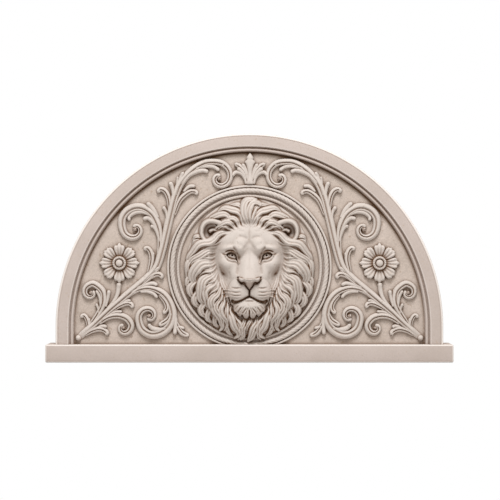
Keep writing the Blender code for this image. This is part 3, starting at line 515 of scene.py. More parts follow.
# Round buttons, at each volute's eye and at the stem's foot. Sizes in squares; deep and sink in metres
buttons = {
    "deep": 0.0125, "sink": 0.0015, "shadeAmount": 0.7, "shadeTo": (0.003, 0.009),
    "eye": 0.85,         # share of the radius that the volute ends at
    "foot": (171.6, 6.4), "footReach": 3.1,
}


def addButton(bm, centre, reach, side, hollows):
    ball = bmesh.ops.create_uvsphere(bm, u_segments=24, v_segments=12, radius=1)["verts"]
    wide = reach * square
    middle = (side * centre[0] * square, fieldY - buttons["sink"], arch["sillHeight"] + centre[1] * square)
    for v in ball:
        v.co = (middle[0] + v.co.x * wide, middle[1] - v.co.z * buttons["deep"], middle[2] + v.co.y * wide)
    # painted shade round the button's foot, where it meets the field
    standing = np.array([fieldY - v.co.y for v in ball])
    hollows.append(buttons["shadeAmount"] * (1 - ramp(*buttons["shadeTo"], standing)))


def makeScrollwork(name, side):
    bm = bmesh.new()
    hollows = []
    for part, stroke in strokes.items():
        volute = volutes.get(part)
        addStroke(bm, stroke, side, hollows, volute)
        if volute:
            eye, _, end = volute
            addButton(bm, eye, buttons["eye"] * end, side, hollows)
    addButton(bm, buttons["foot"], buttons["footReach"], side, hollows)
    mesh = meshFrom(bm, name)
    paint(mesh, "hollow", np.concatenate(hollows))
    finishPiece(name, mesh, carvedStone)


# For every place: how far off the line it is, how far along (0 to 1) and on which side
def alongLine(x, z, points, reach):
    line = smoothLine(points, 7)
    far, share, side = np.full(x.shape, 1e9), np.zeros(x.shape), np.zeros(x.shape)
    low, high = line.min(axis=0) - reach, line.max(axis=0) + reach
    near = (x > low[0]) & (x < high[0]) & (z > low[1]) & (z < high[1])
    px, pz = x[near], z[near]
    best, at, turn = np.full(px.shape, 1e9), np.zeros(px.shape), np.zeros(px.shape)
    steps = np.hypot(*np.diff(line, axis=0).T)
    gone = np.concatenate([[0], np.cumsum(steps)])
    for a, b, step, before in zip(line, line[1:], steps, gone):
        d = (b - a) / max(step, 1e-9)
        t = np.clip((px - a[0]) * d[0] + (pz - a[1]) * d[1], 0, step)
        ex, ez = px - a[0] - d[0] * t, pz - a[1] - d[1] * t
        gap = np.hypot(ex, ez)
        closer = gap < best
        best, at = np.where(closer, gap, best), np.where(closer, (before + t) / gone[-1], at)
        turn = np.where(closer, np.sign(d[0] * ez - d[1] * ex), turn)
    far[near], share[near], side[near] = best, at, turn * best
    return far, share, side


# The higher of two reliefs, with a soft join
def melted(a, b, reach):
    h = np.clip(0.5 + 0.5 * (a - b) / reach, 0, 1)
    return b + (a - b) * h + reach * h * (1 - h)


# Places measured from a centre, turned by the tilt, in shares of the reach
def turned(x, z, centre, reach, tilt):
    c, s = math.cos(tilt), math.sin(tilt)
    u, v = x - centre[0], z - centre[1]
    return (u * c + v * s) / reach[0], (v * c - u * s) / reach[1]


# A bump that is 1 at its centre
def swell(x, z, centre, reach, tilt, power=1.0):
    u, v = turned(x, z, centre, reach, tilt)
    return np.exp(-((u * u + v * v) ** power))


# A round cap that stands out and falls away beyond its reach
def dome(x, z, centre, reach, out, deep, tilt=0.0):
    u, v = turned(x, z, centre, reach, tilt)
    q = np.sqrt(u * u + v * v)
    return out + deep * np.sqrt(np.clip(1 - q * q, 0, None)) - 1.3 * deep * np.clip(q - 1, 0, None)


# A groove that fades out at both ends; a negative depth makes a ridge
def crease(x, z, points, width, depth):
    far, share, _ = alongLine(x, z, points, width * 4)
    return depth * ramp(0, 0.3, share) * ramp(1, 0.7, share) * fading(far / width)


# Lion's face, in head squares from the middle of the ring: x is mirrored, z goes up, and out from the field
lionFaceShape = {
    "crest": ((-56, -50, -44, -38, -32, -24, -16, -8, 0, 8, 15, 22, 30, 36, 41, 46),
              (3, 8, 11.5, 13.2, 14, 15.5, 17, 17.6, 17.8, 17.6, 18.0, 19.0, 19.2, 18.3, 17.0, 15.0)),
    "halfWidth": ((-56, -46, -38, -30, -20, -10, 0, 12, 22, 30, 38, 46),
                  (11, 17, 21, 23.5, 26.5, 30, 33, 35, 34, 30, 23, 12)),
    # swells and hollows: (centre, reach, out, tilt, power)
    "swells": (
        ((23.5, 4.0), (7.5, 8.0), 4.2, 0.35, 1.4),        # cheek ball
        ((27.5, 15.5), (4.5, 6), 1.2, 0.0, 1.0),          # temple
        ((24.8, -11.0), (4.0, 8.5), -3.8, -0.42, 1.0),    # hollow below the cheek
        ((14.5, -9.5), (6.5, 9.5), 2.6, 0.2, 1.2),        # root of the muzzle
        ((9.8, -3.0), (2.6, 7.5), -0.8, 0.08, 1.0),
        ((17.8, 10.0), (7.2, 4.2), -2.6, -0.12, 1.3),     # socket
        ((10.9, 8.4), (2.6, 4.6), -1.7, 0.3, 1.0),
        ((9.0, 34.5), (9.5, 6.0), 0.9, 0.0, 1.2),         # forehead
        ((22, 27), (7, 6), 0.7, 0.3, 1.2),
        ((9.4, 21.0), (6.4, 7.4), 3.4, 0.2, 2.0),        # brow bulb
        ((9.6, 16.4), (4.4, 4.0), 1.7, 0.5, 1.6),
        ((20.5, 19.0), (6.6, 2.7), 2.9, -0.18, 1.2),      # brow over the eye
        ((26.3, 12.6), (2.4, 1.2), -1.3, 0.45, 1.0),
    ),
    # creases: (points, width, depth)
    "creases": (
        (((17.0, 21.8), (15.4, 18.8), (13.4, 16.2), (11.6, 13.2), (9.8, 11.4)), 1.0, 1.7),
        (((1.2, 27.0), (1.9, 24), (3.6, 20.5), (6.4, 17.4), (9.0, 15.4)), 1.7, 0.65),
        (((0.6, 27.0), (4, 29.2), (8.2, 30.3), (12.6, 29.8)), 1.3, 0.5),
        (((13.0, 25.4), (11.8, 23.6), (12.4, 21.8)), 0.7, 0.5),
        (((0, 40), (0.1, 33), (0, 26), (0, 19)), 1.3, 0.7),
        (((0, 19), (0, 10), (0, 0), (0, -8)), 1.8, 0.5),
        (((4.4, 36.5), (8, 35.6), (12, 36.4)), 1.1, 0.35),
        (((30.0, 3.5), (29.0, -2.5), (26.6, -6.8), (22.6, -9.6)), 1.8, 2.4),
        (((21.4, -3.5), (19.8, -9), (20.6, -15)), 1.3, 0.9),
        (((13.6, -8.4), (12.2, -5), (11.6, 0)), 1.2, 0.7),
    ),
}


def lionFace(x, z):
    x = np.abs(x)
    shape = lionFaceShape
    out = through(z, *shape["crest"]) - 8.0 * (x / through(z, *shape["halfWidth"])) ** 2.7
    for centre, reach, high, tilt, power in shape["swells"]:
        out = out + high * swell(x, z, centre, reach, tilt, power)
    for points, width, depth in shape["creases"]:
        out = out - crease(x, z, points, width, depth)
    out = addNose(x, z, out)
    out = addEyes(x, z, out)
    return addMouth(x, z, out)


lionNose = {
    # the bridge: half width, and how much it lifts, by height
    "bridge": ((-14, -8, 0, 8, 14, 20, 28), (9.9, 9, 8.2, 6.8, 4.4, 3.4, 2.6)),
    "lift": ((-24, -16, -12, -6, 2, 9, 16, 26), (8, 8.6, 8.2, 6.4, 4.2, 2.2, 0.6, 0)),
    # muzzle pads either side: centre, reach, out, depth and tilt
    "pads": ((10.2, -24.6), (12, 13.6), 12.4, 8.6, 0.2),
    # the leather, a shield between the nostrils: its top and foot from the middle outwards
    "top": ((0, 4, 8, 10, 12), (-13, -12.4, -11.8, -11.4, -12.4)),
    "foot": ((0, 1.2, 3.2, 5.5, 8.5, 10.8, 12), (-23, -21.6, -18.8, -17.2, -16, -13.8, -12)),
    "halfWidth": 12, "out": 27.2,
    "rim": ((-9, -14.4), (-5, -13.7), (0, -14.4), (5, -13.7), (9, -14.4)),
    # the comma round a nostril, its width and depth along it, and the crease from there to the lip
    "nostril": ((11.4, -10.8), (11, -13), (9.4, -15.2), (7.4, -16.2), (5.8, -16), (4.2, -17.2), (3, -18.8)),
    "nostrilWidth": ((0, 0.25, 0.6, 0.8, 1), (0.6, 0.8, 1.35, 1.2, 0.55)),
    "nostrilDepth": ((0, 0.25, 0.6, 0.8, 1), (2, 3.6, 7, 6, 2)),
    "toLip": ((4.2, -17.8), (2.6, -20.2), (0.6, -22.6), (0, -24)),
}


def addNose(x, z, out):
    half = through(z, *lionNose["bridge"])
    lift = through(z, *lionNose["lift"])
    out = out + lift * (1 - ramp(half - 6.0, half + 4.6, x)) * ramp(-19, -12.6, z)
    out = melted(out, dome(x, z, *lionNose["pads"]), 6.5)
    top = through(x, *lionNose["top"])
    foot = through(x, *lionNose["foot"])
    within = np.minimum(np.minimum(top - z, z - foot), lionNose["halfWidth"] - x)
    leather = lionNose["out"] - 0.42 * (x / 5) ** 2 - 0.5 * np.clip(-13.2 - z, 0, None)
    leather = leather - 7 * np.clip(-within, 0, None)
    out = np.where(within > -1, melted(out, leather, 0.5), out)
    out = out - crease(x, z, lionNose["rim"], 0.8, 0.7)
    far, share, _ = alongLine(x, z, lionNose["nostril"], 6)
    wide = through(share, *lionNose["nostrilWidth"])
    deep = through(share, *lionNose["nostrilDepth"])
    out = out - deep * fading(far / wide)
    return out - crease(x, z, lionNose["toLip"], 0.8, 2.4)


lionEye = {
    "upper": ((23.2, 12.0), (21.3, 13.7), (18.2, 14.4), (15.2, 13.3), (13.4, 10.6), (12.9, 7.8), (11.9, 4.9)),
    "lower": ((23.2, 11.8), (20.8, 8.9), (18, 7.6), (15.2, 7.3), (13.4, 7.0), (11.9, 4.9)),
    "ball": ((17.6, 10.6), (7.6, 6), 13, 2.4),       # centre, reach, out and depth
    "iris": (17.3, 11.4), "irisSize": 2.7,
    "tearDuct": ((13.1, 8.4), (0.9, 2.2), 0.15),
    # folds outside the lids: (line, width, depth)
    "folds": ((((25.5, 13.2), (22.6, 15.6), (19, 16.4), (15.8, 15.6), (13.6, 13.6), (12, 10.4)), 0.75, 1.4),
              (((24.6, 9.2), (21.6, 6.2), (18, 4.6), (14.8, 4.4), (12.8, 2.6)), 0.8, 0.8)),
    # the lids themselves: (line, width, height)
    "lids": ((((24.4, 11.6), (22, 14.2), (18.4, 15.2), (15, 14.2), (12.7, 11), (12.1, 7.6), (11, 4)),
              0.9, 1.9),
             (((24, 11.2), (21.2, 8), (18.1, 6.6), (15, 6.3), (12.8, 5.4), (11.2, 3.4)), 0.85, 1.3)),
}


def addEyes(x, z, out):
    top = np.array(sorted(lionEye["upper"]))
    low = np.array(sorted(lionEye["lower"]))
    above = np.interp(x, top[:, 0], top[:, 1], left=-99, right=-99)
    below = np.interp(x, low[:, 0], low[:, 1], left=99, right=99)
    opened = np.minimum(above - z, z - below)
    for line, width, depth in lionEye["folds"]:
        out = out - crease(x, z, line, width, depth)
    for line, width, height in lionEye["lids"]:
        out = out + height * fading(alongLine(x, z, line, 5)[0] / width)
    centre, reach, flat, deep = lionEye["ball"]
    ball = flat + deep * rounded(np.hypot(*turned(x, z, centre, reach, 0)))
    off = np.hypot(x - lionEye["iris"][0], z - lionEye["iris"][1])
    ball = ball - 0.45 * fading((off - lionEye["irisSize"]) / 0.4) - 1.9 * (1 - ramp(0.5, 1.5, off))
    ball = ball - 1.8 * ramp(2.2, 0.2, above - z) - 0.9 * ramp(1.2, 0.1, z - below)
    ball = ball - 2.0 * swell(x, z, *lionEye["tearDuct"])
    return out + (np.minimum(ball, out) - out) * ramp(-0.25, 0.35, opened)


lionMouth = {
    "line": ((0, -29.8), (2.6, -31), (5.2, -32.4), (8.2, -33.9), (11.4, -34.9), (14.4, -35.2), (17.2, -34.2)),
    # the lip's rim at the corner, the fold outside it, and the fold under the lip: (line, width, depth)
    "creases": ((((18.6, -31.6), (19.3, -34.4), (17.8, -37.6), (15.4, -39.4)), 0.9, -2.4),
                (((20.6, -30.2), (20.9, -34.2), (19.4, -38), (16.6, -41.4), (16.2, -45)), 1.0, 2.2),
                (((-9, -35.4), (-5, -34.9), (0, -34.7), (5, -34.9), (9, -35.4)), 0.8, 1.2)),
    # chin and lower lip: centre, reach, out and depth
    "chin": ((0, -41.5), (17, 11.4), 9.2, 9.6), "lip": ((0, -34.6), (12, 3.2), 14.6, 3.4),
    "corner": ((15, -36), (2.6, 1.1), 0.1),
    # whisker rows, shallow furrows with pricked dots: (level, from, to)
    "rows": ((-21.2, 8, 19), (-25.4, 8.5, 19.6), (-28.8, 8, 19.6), (-31.4, 9, 18)),
    "rowWidth": 0.75, "dots": 6,
}


def addMouth(x, z, out):
    # parting under the nose
    out = out - 3.4 * fading(x / 0.75) * ramp(-31.5, -29.5, z) * (1 - ramp(-24, -22, z))
    line = lionMouth["line"]
    mouth = smoothLine(line, 6)
    below = np.interp(x, mouth[:, 0], mouth[:, 1]) + np.clip(x - 17.2, 0, None) * 0.5
    jaw = melted(dome(x, z, *lionMouth["chin"]), dome(x, z, *lionMouth["lip"]), 1.2)
    jaw = melted(jaw, out - 6.5, 1.5)
    out = out + (jaw - out) * ramp(0.0, 1.2, below - z)
    far, share, _ = alongLine(x, z, line, 6)
    out = out - (3.4 + 2.6 * share) * fading(far / (0.95 + 0.5 * share))
    out = out - 4.5 * swell(x, z, *lionMouth["corner"])
    for line, width, depth in lionMouth["creases"]:
        out = out - crease(x, z, line, width, depth)
    out = addChinTufts(x, z, out)
    for level, start, end in lionMouth["rows"]:
        row = ((start, level), ((start + end) / 2, level - 0.5), (end, level + 0.5))
        far, share, _ = alongLine(x, z, row, 4)
        fade = np.sin(np.pi * np.clip(share, 0, 1)) ** 0.6 * fading(far / lionMouth["rowWidth"])
        out = out - fade * (0.8 + 0.45 * np.sin(share * 2 * np.pi * lionMouth["dots"]) ** 2)
    return out


chinTufts = {
    # pointed locks of the beard, three each side with a parting in the middle: their lower edge, and partings
    "edge": ((0, 1.2, 3.3, 5.6, 7.4, 8.9, 11.2, 13.2, 15.6, 17),
             (-48.6, -51, -52.9, -51, -48.2, -50.4, -49.2, -46.4, -44.6, -40)),
    "partings": (
        (((0, -42), (0, -46), (0, -51)), 0.8, 2.2),
        (((2.6, -40.5), (3.8, -43), (6.4, -46), (7.6, -49)), 0.8, 1.5),
        (((0.4, -40), (2, -43.6), (3.6, -47.4), (3.4, -50)), 0.7, 1.1),
        (((6.8, -40), (9.2, -42.6), (11, -45.4), (12.6, -48)), 0.8, 1.5),
        (((4.6, -39), (7.4, -43.5), (9.4, -48)), 0.6, 0.9),
        (((9.4, -38.4), (12.6, -41), (14.6, -45)), 0.7, 1.1),
    ),
}


def addChinTufts(x, z, out):
    edge = through(x, *chinTufts["edge"])
    low = ramp(-36.5, -41, z)
    for points, width, depth in chinTufts["partings"]:
        out = out - low * crease(x, z, points, width, depth)
    return np.where((x < 17) & (z < -38) & (z < edge), np.minimum(out, 5.0), out)


# Mane: its locks, each as (line, half width at root, belly and tip, out at root, belly and tip, strands).
# Those in maneLocks are mirrored, and those in oneSided aren't
maneLocks = {
    "outerOne": (((50, 12), (59, 6), (63.6, -4), (62.8, -15.5)), (2.6, 3, 0.4), (5, 7, 2.5), 2),
    "outerTwo": (((52, -2), (59, -9), (62.4, -17), (62, -24.6)), (2.4, 3, 0.4), (5, 6, 2.5), 2),
    "outerThree": (((50, -8), (57.6, -17), (60, -26), (56.2, -34.4)), (2.6, 3.6, 0.4), (6, 7, 2.5), 2),
    "outerFour": (((45, -18), (53, -27), (54.6, -36), (48.3, -44.8)), (2.6, 3.6, 0.4), (6, 7, 2.5), 2),
    "outerFive": (((40, -28), (47, -37), (48.4, -45), (42.2, -53.8)), (2.6, 3.6, 0.4), (6, 7, 2.5), 2),
    "outerSix": (((34, -34), (41, -43), (42.2, -51), (37, -58.2)), (2.6, 3.4, 0.4), (6, 7, 2.5), 2),
    "outerSeven": (((28, -40), (35, -50), (34.6, -57), (28.8, -62.4)), (2.4, 3.2, 0.4), (6, 7, 2.5), 2),
    "outerEight": (((20, -50), (24.6, -58), (22.6, -65), (16.6, -70.6)), (2.4, 3, 0.4), (6, 6.5, 3), 2),
    "behindEarUpper": (((46, 31), (52.4, 30.4), (57.6, 27)), (2, 2.3, 0.4), (6, 6, 3), 2),
    "behindEarLower": (((45, 27), (52.6, 26), (58.2, 21.6)), (2, 2.6, 0.4), (7, 7, 3), 2),
    "crownTip": (((4.5, 52), (8.6, 59.6), (13.2, 63), (19, 62.6)), (2.2, 2.7, 0.5), (10, 10, 4), 2),
    "upperLock": (((17, 48.4), (24, 51.8), (31.4, 52.4), (37.2, 50.4), (41.6, 46.8)), (2.6, 3.1, 0.5),
        (11, 11, 5), 2),
    "crownLock": (((5.4, 43), (8, 51), (13.2, 56.8), (20, 58.4), (27, 57.9), (31.6, 55.8)),
        (2.2, 3.5, 0.5), (15.6, 13.6, 5), 2),
    "browLock": (((9.2, 39.6), (12, 44.8), (16.2, 48), (21.6, 48.9), (26.4, 47.8), (30, 46.6)),
        (2, 2.7, 0.5), (15.6, 14.6, 9), 2),
    "templeLock": (((13.8, 38.8), (16.6, 42), (21.2, 44.2), (26.4, 43.8), (30.6, 42), (33.6, 39)),
        (1.8, 2.9, 0.8), (15.2, 15, 10.5), 2),
    "templeUnder": (((17.6, 37.6), (22.6, 39.8), (27.4, 40.2), (31.4, 38.2)), (1.4, 1.9, 0.6),
        (14.6, 14.4, 11), 2),
    "longLock": (((20.4, 34.4), (25, 34.4), (29.6, 32.4), (34.2, 28.4), (40, 25.6), (46.4, 23.4),
        (52.4, 20.4), (57.6, 15.6), (61.4, 9.4), (63.6, 2)), (1.8, 3.6, 0.5), (14.6, 16.4, 4.5), 2),
    "longUnder": (((24.6, 28.8), (29.4, 26.6), (34, 23.2), (39.2, 22), (45, 20.4)), (1.4, 2.4, 0.8),
        (13.4, 14.4, 11), 2),
    "fillSide": (((29.6, 25), (36, 20.8), (43, 19.4), (49, 16.6), (55, 12)), (2.2, 2.8, 0.6),
        (10, 12.6, 8), 2),
    "fillShoulder": (((32.4, 13.6), (39, 10.2), (46, 9.4), (52, 7), (57.5, 2)), (2.2, 3, 0.6),
        (10, 12.8, 8), 2),
    "fillSecond": (((33.6, 2.4), (38.6, -2.4), (45, -4.6), (50, -8), (53, -13)), (2.2, 3, 0.6),
        (10, 12.8, 9), 2),
    "fillThird": (((32.8, -5.6), (36.4, -12), (41.5, -15.6), (46, -20), (48, -26)), (2.2, 2.8, 0.6),
        (10, 12.8, 9), 2),
    "fillFourth": (((31, -13.6), (34, -20.4), (38.6, -25), (42, -31), (42, -37)), (2.2, 2.8, 0.6),
        (10, 12.8, 9), 2),
    "fillFifth": (((28, -23), (29.8, -30.4), (32.8, -36), (33.8, -43)), (2, 2.8, 0.6), (9.5, 12.6, 9), 2),
    "sideLock": (((28.5, 20.6), (34, 16.8), (42, 15), (49, 12.6), (55, 8.2), (59.6, 2.8), (63.2, -4.2)),
        (2.2, 4.4, 0.5), (10, 14.2, 5), 3),
    "shoulderLock": (((32.6, 8.4), (38.6, 4.4), (45, 3), (51, 0.6), (55.8, -4), (57, -10.4),
        (55.4, -15.6), (53.6, -20.2)), (3, 6, 0.5), (10, 14.8, 6), 3),
    "secondLock": (((33, -1.6), (36.8, -6.8), (42, -11), (47, -16), (49.6, -22.4), (49, -30), (46, -36.4),
        (42, -41.4)), (2.6, 5, 0.5), (10, 14.8, 6.5), 3),
    "thirdLock": (((32.4, -9.4), (35.4, -15.6), (40.6, -20.4), (44.5, -26), (45, -32), (42.8, -38.4),
        (39.4, -44)), (2.2, 4, 0.6), (10, 14.2, 8), 2),
    "fourthLock": (((29.6, -18), (32.6, -25.6), (36.6, -31.6), (38, -38), (36.2, -44.6), (32.8, -49),
        (29.2, -51.6)), (2.4, 4.2, 0.5), (10, 14.8, 8), 3),
    "fourthUnder": (((28.4, -22), (30.4, -30), (33.8, -37), (34, -44), (31, -51), (27.8, -57),
        (27.2, -61.6), (30, -65)), (1.6, 4.2, 0.5), (9.5, 13.8, 6.5), 3),
    "fifthLock": (((26, -27), (26.8, -34), (29.2, -41), (27.8, -48), (24.4, -55), (23.2, -60),
        (25.4, -64.4)), (1.6, 3.4, 0.5), (9.5, 13.8, 7), 2),
    "fifthUnder": (((22.6, -33), (23.4, -40), (24.4, -46), (21.8, -53), (18.6, -60), (17.8, -65)),
        (1.4, 3, 0.5), (8.5, 12, 6), 2),
    "cheekLock": (((31.4, -2), (29.6, -10), (26.4, -17.6), (24.4, -25), (24, -33)), (1.2, 2.4, 0.6),
        (11.5, 12.6, 9.5), 2),
    "jawLock": (((27, -13), (24.2, -20), (22.2, -27), (21.6, -35), (20.4, -43)), (1, 2.2, 0.6),
        (10.5, 11.6, 8), 2),
    "sixthLock": (((19.6, -39), (20.6, -45), (19.2, -52), (15.4, -59), (12.1, -65), (11.6, -69.6),
        (15.2, -72.8)), (1.5, 3.6, 0.5), (8, 12.8, 6.5), 2),
    "sixthUnder": (((15.2, -46.5), (14.2, -53), (10.8, -60), (8.4, -66), (8.8, -71), (11.4, -74)),
        (1.4, 3, 0.5), (6.5, 10.8, 6), 2),
}
oneSided = {
    "forelockFar": (((1, 40), (3.6, 47), (7.4, 53), (11.4, 57.6), (15.6, 59.6)), (1.4, 3.2, 0.6),
        (17, 15.4, 9), 2),
    "forelock": (((0.6, 40), (1.4, 48), (2.8, 54.4), (5, 59), (8.4, 61.4), (11.4, 60.2)), (1.6, 3.8, 1.2),
        (17.2, 16.4, 10.5), 2),
    "forelockTop": (((0.4, 40), (-0.6, 48), (-1.2, 55), (0.2, 60.6), (3.6, 64.2), (8, 64), (11, 62.4)),
        (1.4, 3.9, 1.6), (17.4, 17.2, 12.4), 2),
    "forelockBack": (((-0.6, 40), (-3.2, 47), (-5.6, 53.4), (-6, 59.6), (-3.2, 65), (1.8, 67.4),
        (5.6, 66.6)), (1.6, 3.8, 1.6), (17.2, 16.6, 11.4), 2),
    "crownRootRight": (((1.6, 39), (4.6, 44.6), (9.4, 50.2), (14.6, 54.4)), (1.6, 3, 1),
        (16.8, 14.2, 11), 2),
    "crownRootLeft": (((-1.6, 39), (-4.6, 44.6), (-9.4, 50.2), (-14.6, 54.4)), (1.6, 3, 1),
        (16.8, 14.2, 11), 2),
    "neckMiddle": (((7.4, -50), (8.2, -57), (5.2, -64), (2.2, -70.4), (-1.4, -76.2)), (2.4, 4.4, 0.5),
        (6, 10.4, 6.4), 3),
    "neckRight": (((-3.2, -52), (-5, -58), (-7, -64), (-6.6, -70), (-9, -74.4)), (2.4, 3.8, 0.5),
        (6, 9.8, 6), 3),
    "neckBetween": (((2.6, -50), (1.2, -56), (-1.2, -62), (-3.4, -69)), (2, 3.2, 0.6), (6, 9, 6), 3),
}
maneShape = {"crown": 2.6, "strand": 1.25, "tilt": 1.6, "side": 5.0, "wave": 0.95, "waveLength": 22,
             "gapReach": 2.6, "gapDepth": 2.0,
             "loneWave": 0.4, "phase": 0.05,
             # the swell that the locks lie on: its reach, middle, what it stands out, and how it falls off
             "baseReach": (60.5, 68.5), "baseMiddle": -3, "baseOut": (2.5, 9.5), "baseFall": 30}


def lockRelief(x, z, lock, wave=maneShape["wave"]):
    points, widths, outs, strands = lock
    far, share, side = alongLine(x, z, points, max(widths) * 1.5 + 2)
    length = np.sum(np.hypot(*np.diff(np.array(points, float), axis=0).T))
    root, belly, tip = widths
    half = through(share, (0, 0.45, 0.75, 0.92, 1), (root, belly, 0.8 * belly, 0.42 * belly, tip))
    slim = np.minimum(1, half / belly)
    # the lock waves from side to side on its way, more towards its belly
    sway = wave * ramp(0, 0.3, share) * ramp(1, 0.75, share)
    phase = maneShape["phase"] * points[0][1]
    side = side + sway * np.sin(2 * np.pi * share * length / maneShape["waveLength"] + phase)
    far = np.where(far > 1e8, far, np.abs(side))
    u = np.clip(side / half, -1, 1)
    ridge = 0.5 - 0.5 * np.cos(np.pi * (u + 1) * strands)
    top = through(share, (0, 0.35, 1), outs) + maneShape["crown"] * slim * rounded(far / half)
    top = top + maneShape["strand"] * ridge ** 0.8 * slim ** 0.5 * ramp(0, 0.12, share)
    top = top - maneShape["tilt"] * u * slim
    return top - maneShape["side"] * np.clip(far - half, 0, None)


def maneRelief(x, z):
    mirrored = np.abs(x)
    wide, tall = maneShape["baseReach"]
    q = (mirrored / wide) ** 2 + ((z - maneShape["baseMiddle"]) / tall) ** 2
    edge, rise = maneShape["baseOut"]
    beyond = np.clip(np.sqrt(q) - 1, 0, None)
    out = edge + rise * np.sqrt(np.clip(1 - q, 0, None)) - maneShape["baseFall"] * beyond
    for lock in maneLocks.values():
        out = np.maximum(out, lockRelief(mirrored, z, lock))
    for lock in oneSided.values():
        out = np.maximum(out, lockRelief(x, z, lock, maneShape["loneWave"]))
    # gaps between locks are never deep slots: the mould has to come away
    pitch = x[0, 1] - x[0, 0]
    floor = blurred(np.maximum(out, 0), maneShape["gapReach"] / pitch) - maneShape["gapDepth"]
    return np.where(q < 0.9, np.maximum(out, floor), out)


lionEar = {
    "bowl": ((40.4, 36.2), (8.4, 10.2), -0.3),       # centre, reach and tilt
    "rim": ((29, 43.6), (34.5, 45.6), (40, 46), (44.8, 43.8), (47.6, 39.4), (48.3, 33.8), (46.9, 29),
            (43.6, 25.4)),
    "rimWidth": ((0, 0.3, 0.7, 1), (2.4, 1.9, 1.5, 1.7)),
    "tuft": ((39.6, 36.2), (36.6, 37.4), (32.6, 36.6)),
}


# A round rim standing off the head, with a bowl that deepens towards the head and a tuft in it
def earRelief(x, z):
    x = np.abs(x)
    u, v = turned(x, z, *lionEar["bowl"])
    q = np.sqrt(u * u + v * v)
    far, share, _ = alongLine(x, z, lionEar["rim"], 9)
    half = through(share, *lionEar["rimWidth"])
    tube = 12.2 + 2.2 * rounded(far / half) - 6.0 * np.clip(far - half, 0, None)
    bowl = 3.2 + 6.8 * np.clip(q, 0, 1) ** 2.2 - 3.0 * swell(x, z, (37.6, 33.4), (4.6, 4.0), 0.5)
    tuft = alongLine(x, z, lionEar["tuft"], 5)[0]
    lobe = 8.2 + 1.2 * rounded(tuft / 1.3) - 6 * np.clip(tuft - 1.3, 0, None)
    inside = np.where(q < 1.0, np.maximum(bowl, lobe), -99)
    return np.maximum(inside, tube), q


headEdge = ((-54, -50, -44, -38, -30, -20, -10, 0, 10, 18, 24, 30, 35, 39, 41),
            (2, 9, 15.5, 17.5, 20.4, 23.4, 28.4, 32.4, 34.0, 32, 29, 24.5, 19, 9, 0))
overEar = ("longLock", "longUnder", "templeLock", "templeUnder", "upperLock")


# How far out the face reaches before the mane's roots, negative above and below it
def faceEdge(z):
    return np.where((z > headEdge[0][-1]) | (z < headEdge[0][0]), -5, through(z, *headEdge))


# The relief rolled smooth over this many grid steps
def blurred(values, reach):
    spread = np.arange(-round(3 * reach), round(3 * reach) + 1)
    weights = np.exp(-(spread / reach) ** 2 / 2)
    for axis in (0, 1):
        total = np.zeros_like(values)
        for shift, weight in zip(spread, weights / weights.sum()):
            total += weight * np.roll(values, shift, axis)
        values = total
    return values


def maneWithEars(x, z):
    mirrored = np.abs(x)
    ear, inEar = earRelief(x, z)
    front = np.full(x.shape, -99.0)
    for name in overEar:
        front = np.maximum(front, lockRelief(mirrored, z, maneLocks[name]))
    mane = maneRelief(x, z)
    return np.where(inEar < 1, np.maximum(ear, front), np.maximum(mane, ear))


headField = {
    # the mane is worked out once on this grid, and the face is let into it
    "bounds": (-76, 76, -88, 80), "pitch": 0.38,
    "levelReach": 3.0,       # the mane's general level is taken over this many squares
    "blend": 8.0,            # and meets the face's over this many, from the face's edge outwards
    "rootsIn": -2.0, "rootsOut": 5.0, "rootLevel": 13.2,
    "stepBelow": -16, "stepFrom": -34,      # the jaw and chin stand over the hair with a step
}


# Distance outside the face's edge, negative inside
def offFace(x, z):
    edge = [(reach, level) for level, reach in zip(*headEdge)]
    far = alongLine(np.abs(x), z, edge, 60)[0]
    return np.where(np.abs(x) < faceEdge(z), -far, far)


def carveField():
    left, right, low, high = headField["bounds"]
    pitch = headField["pitch"]
    x, z = np.meshgrid(np.arange(left, right, pitch), np.arange(low, high, pitch))
    mane = maneWithEars(x, z)
    off = offFace(x, z)
    roots = headField["rootLevel"] - 1.5 * np.clip(off, 0, None)
    mane = np.where(z > headField["stepBelow"], np.maximum(mane, roots), mane)
    return mane, blurred(np.maximum(mane, 0), headField["levelReach"] / pitch)


def sampled(field, x, z):
    left, _, low, _ = headField["bounds"]
    u, v = (x - left) / headField["pitch"], (z - low) / headField["pitch"]
    c = np.clip(np.floor(u).astype(int), 0, field.shape[1] - 2)
    r = np.clip(np.floor(v).astype(int), 0, field.shape[0] - 2)
    fu, fv = u - c, v - r
    low = field[r, c] * (1 - fu) + field[r, c + 1] * fu
    high = field[r + 1, c] * (1 - fu) + field[r + 1, c + 1] * fu
    return low * (1 - fv) + high * fv


# thin raised hairs from the muzzle out over the mane
whiskers = (
    ((17.6, -25.0), (21.6, -23.6), (25.6, -23.4), (29.6, -24.6)),
    ((18.0, -27.6), (22.0, -26.6), (26.4, -27.2), (30.4, -29.4)),
    ((17.8, -30.2), (21.6, -30.2), (25.4, -32.0), (28.6, -35.0)),
)


def headRelief(x, z):
    mane, level = (sampled(field, x, z) for field in headFields)
    face = lionFace(x, z)
    off = offFace(x, z)
    part = ramp(0, headField["blend"], off)
    strands = (mane - level) * ramp(headField["rootsIn"], headField["rootsOut"], off)
    # shallow gaps at the roots
    strands = np.where(strands < 0, strands * (0.4 + 0.45 * ramp(3, 16, off)), strands)
    together = face * (1 - part) + level * part + strands
    drop = np.clip(np.abs(x) - faceEdge(z), 0, None)
    stepped = np.maximum(face - 0.5 * drop ** 1.3, mane)
    out = stepped + (together - stepped) * ramp(headField["stepFrom"], headField["stepBelow"], z)
    for line in whiskers:
        out = out - crease(np.abs(x), z, line, 0.45, -1.1)
    return out


reliefShape = {"hollowReach": 1.1, "hollowDepth": 1.25, "mostShade": 0.68, "back": 0.002}


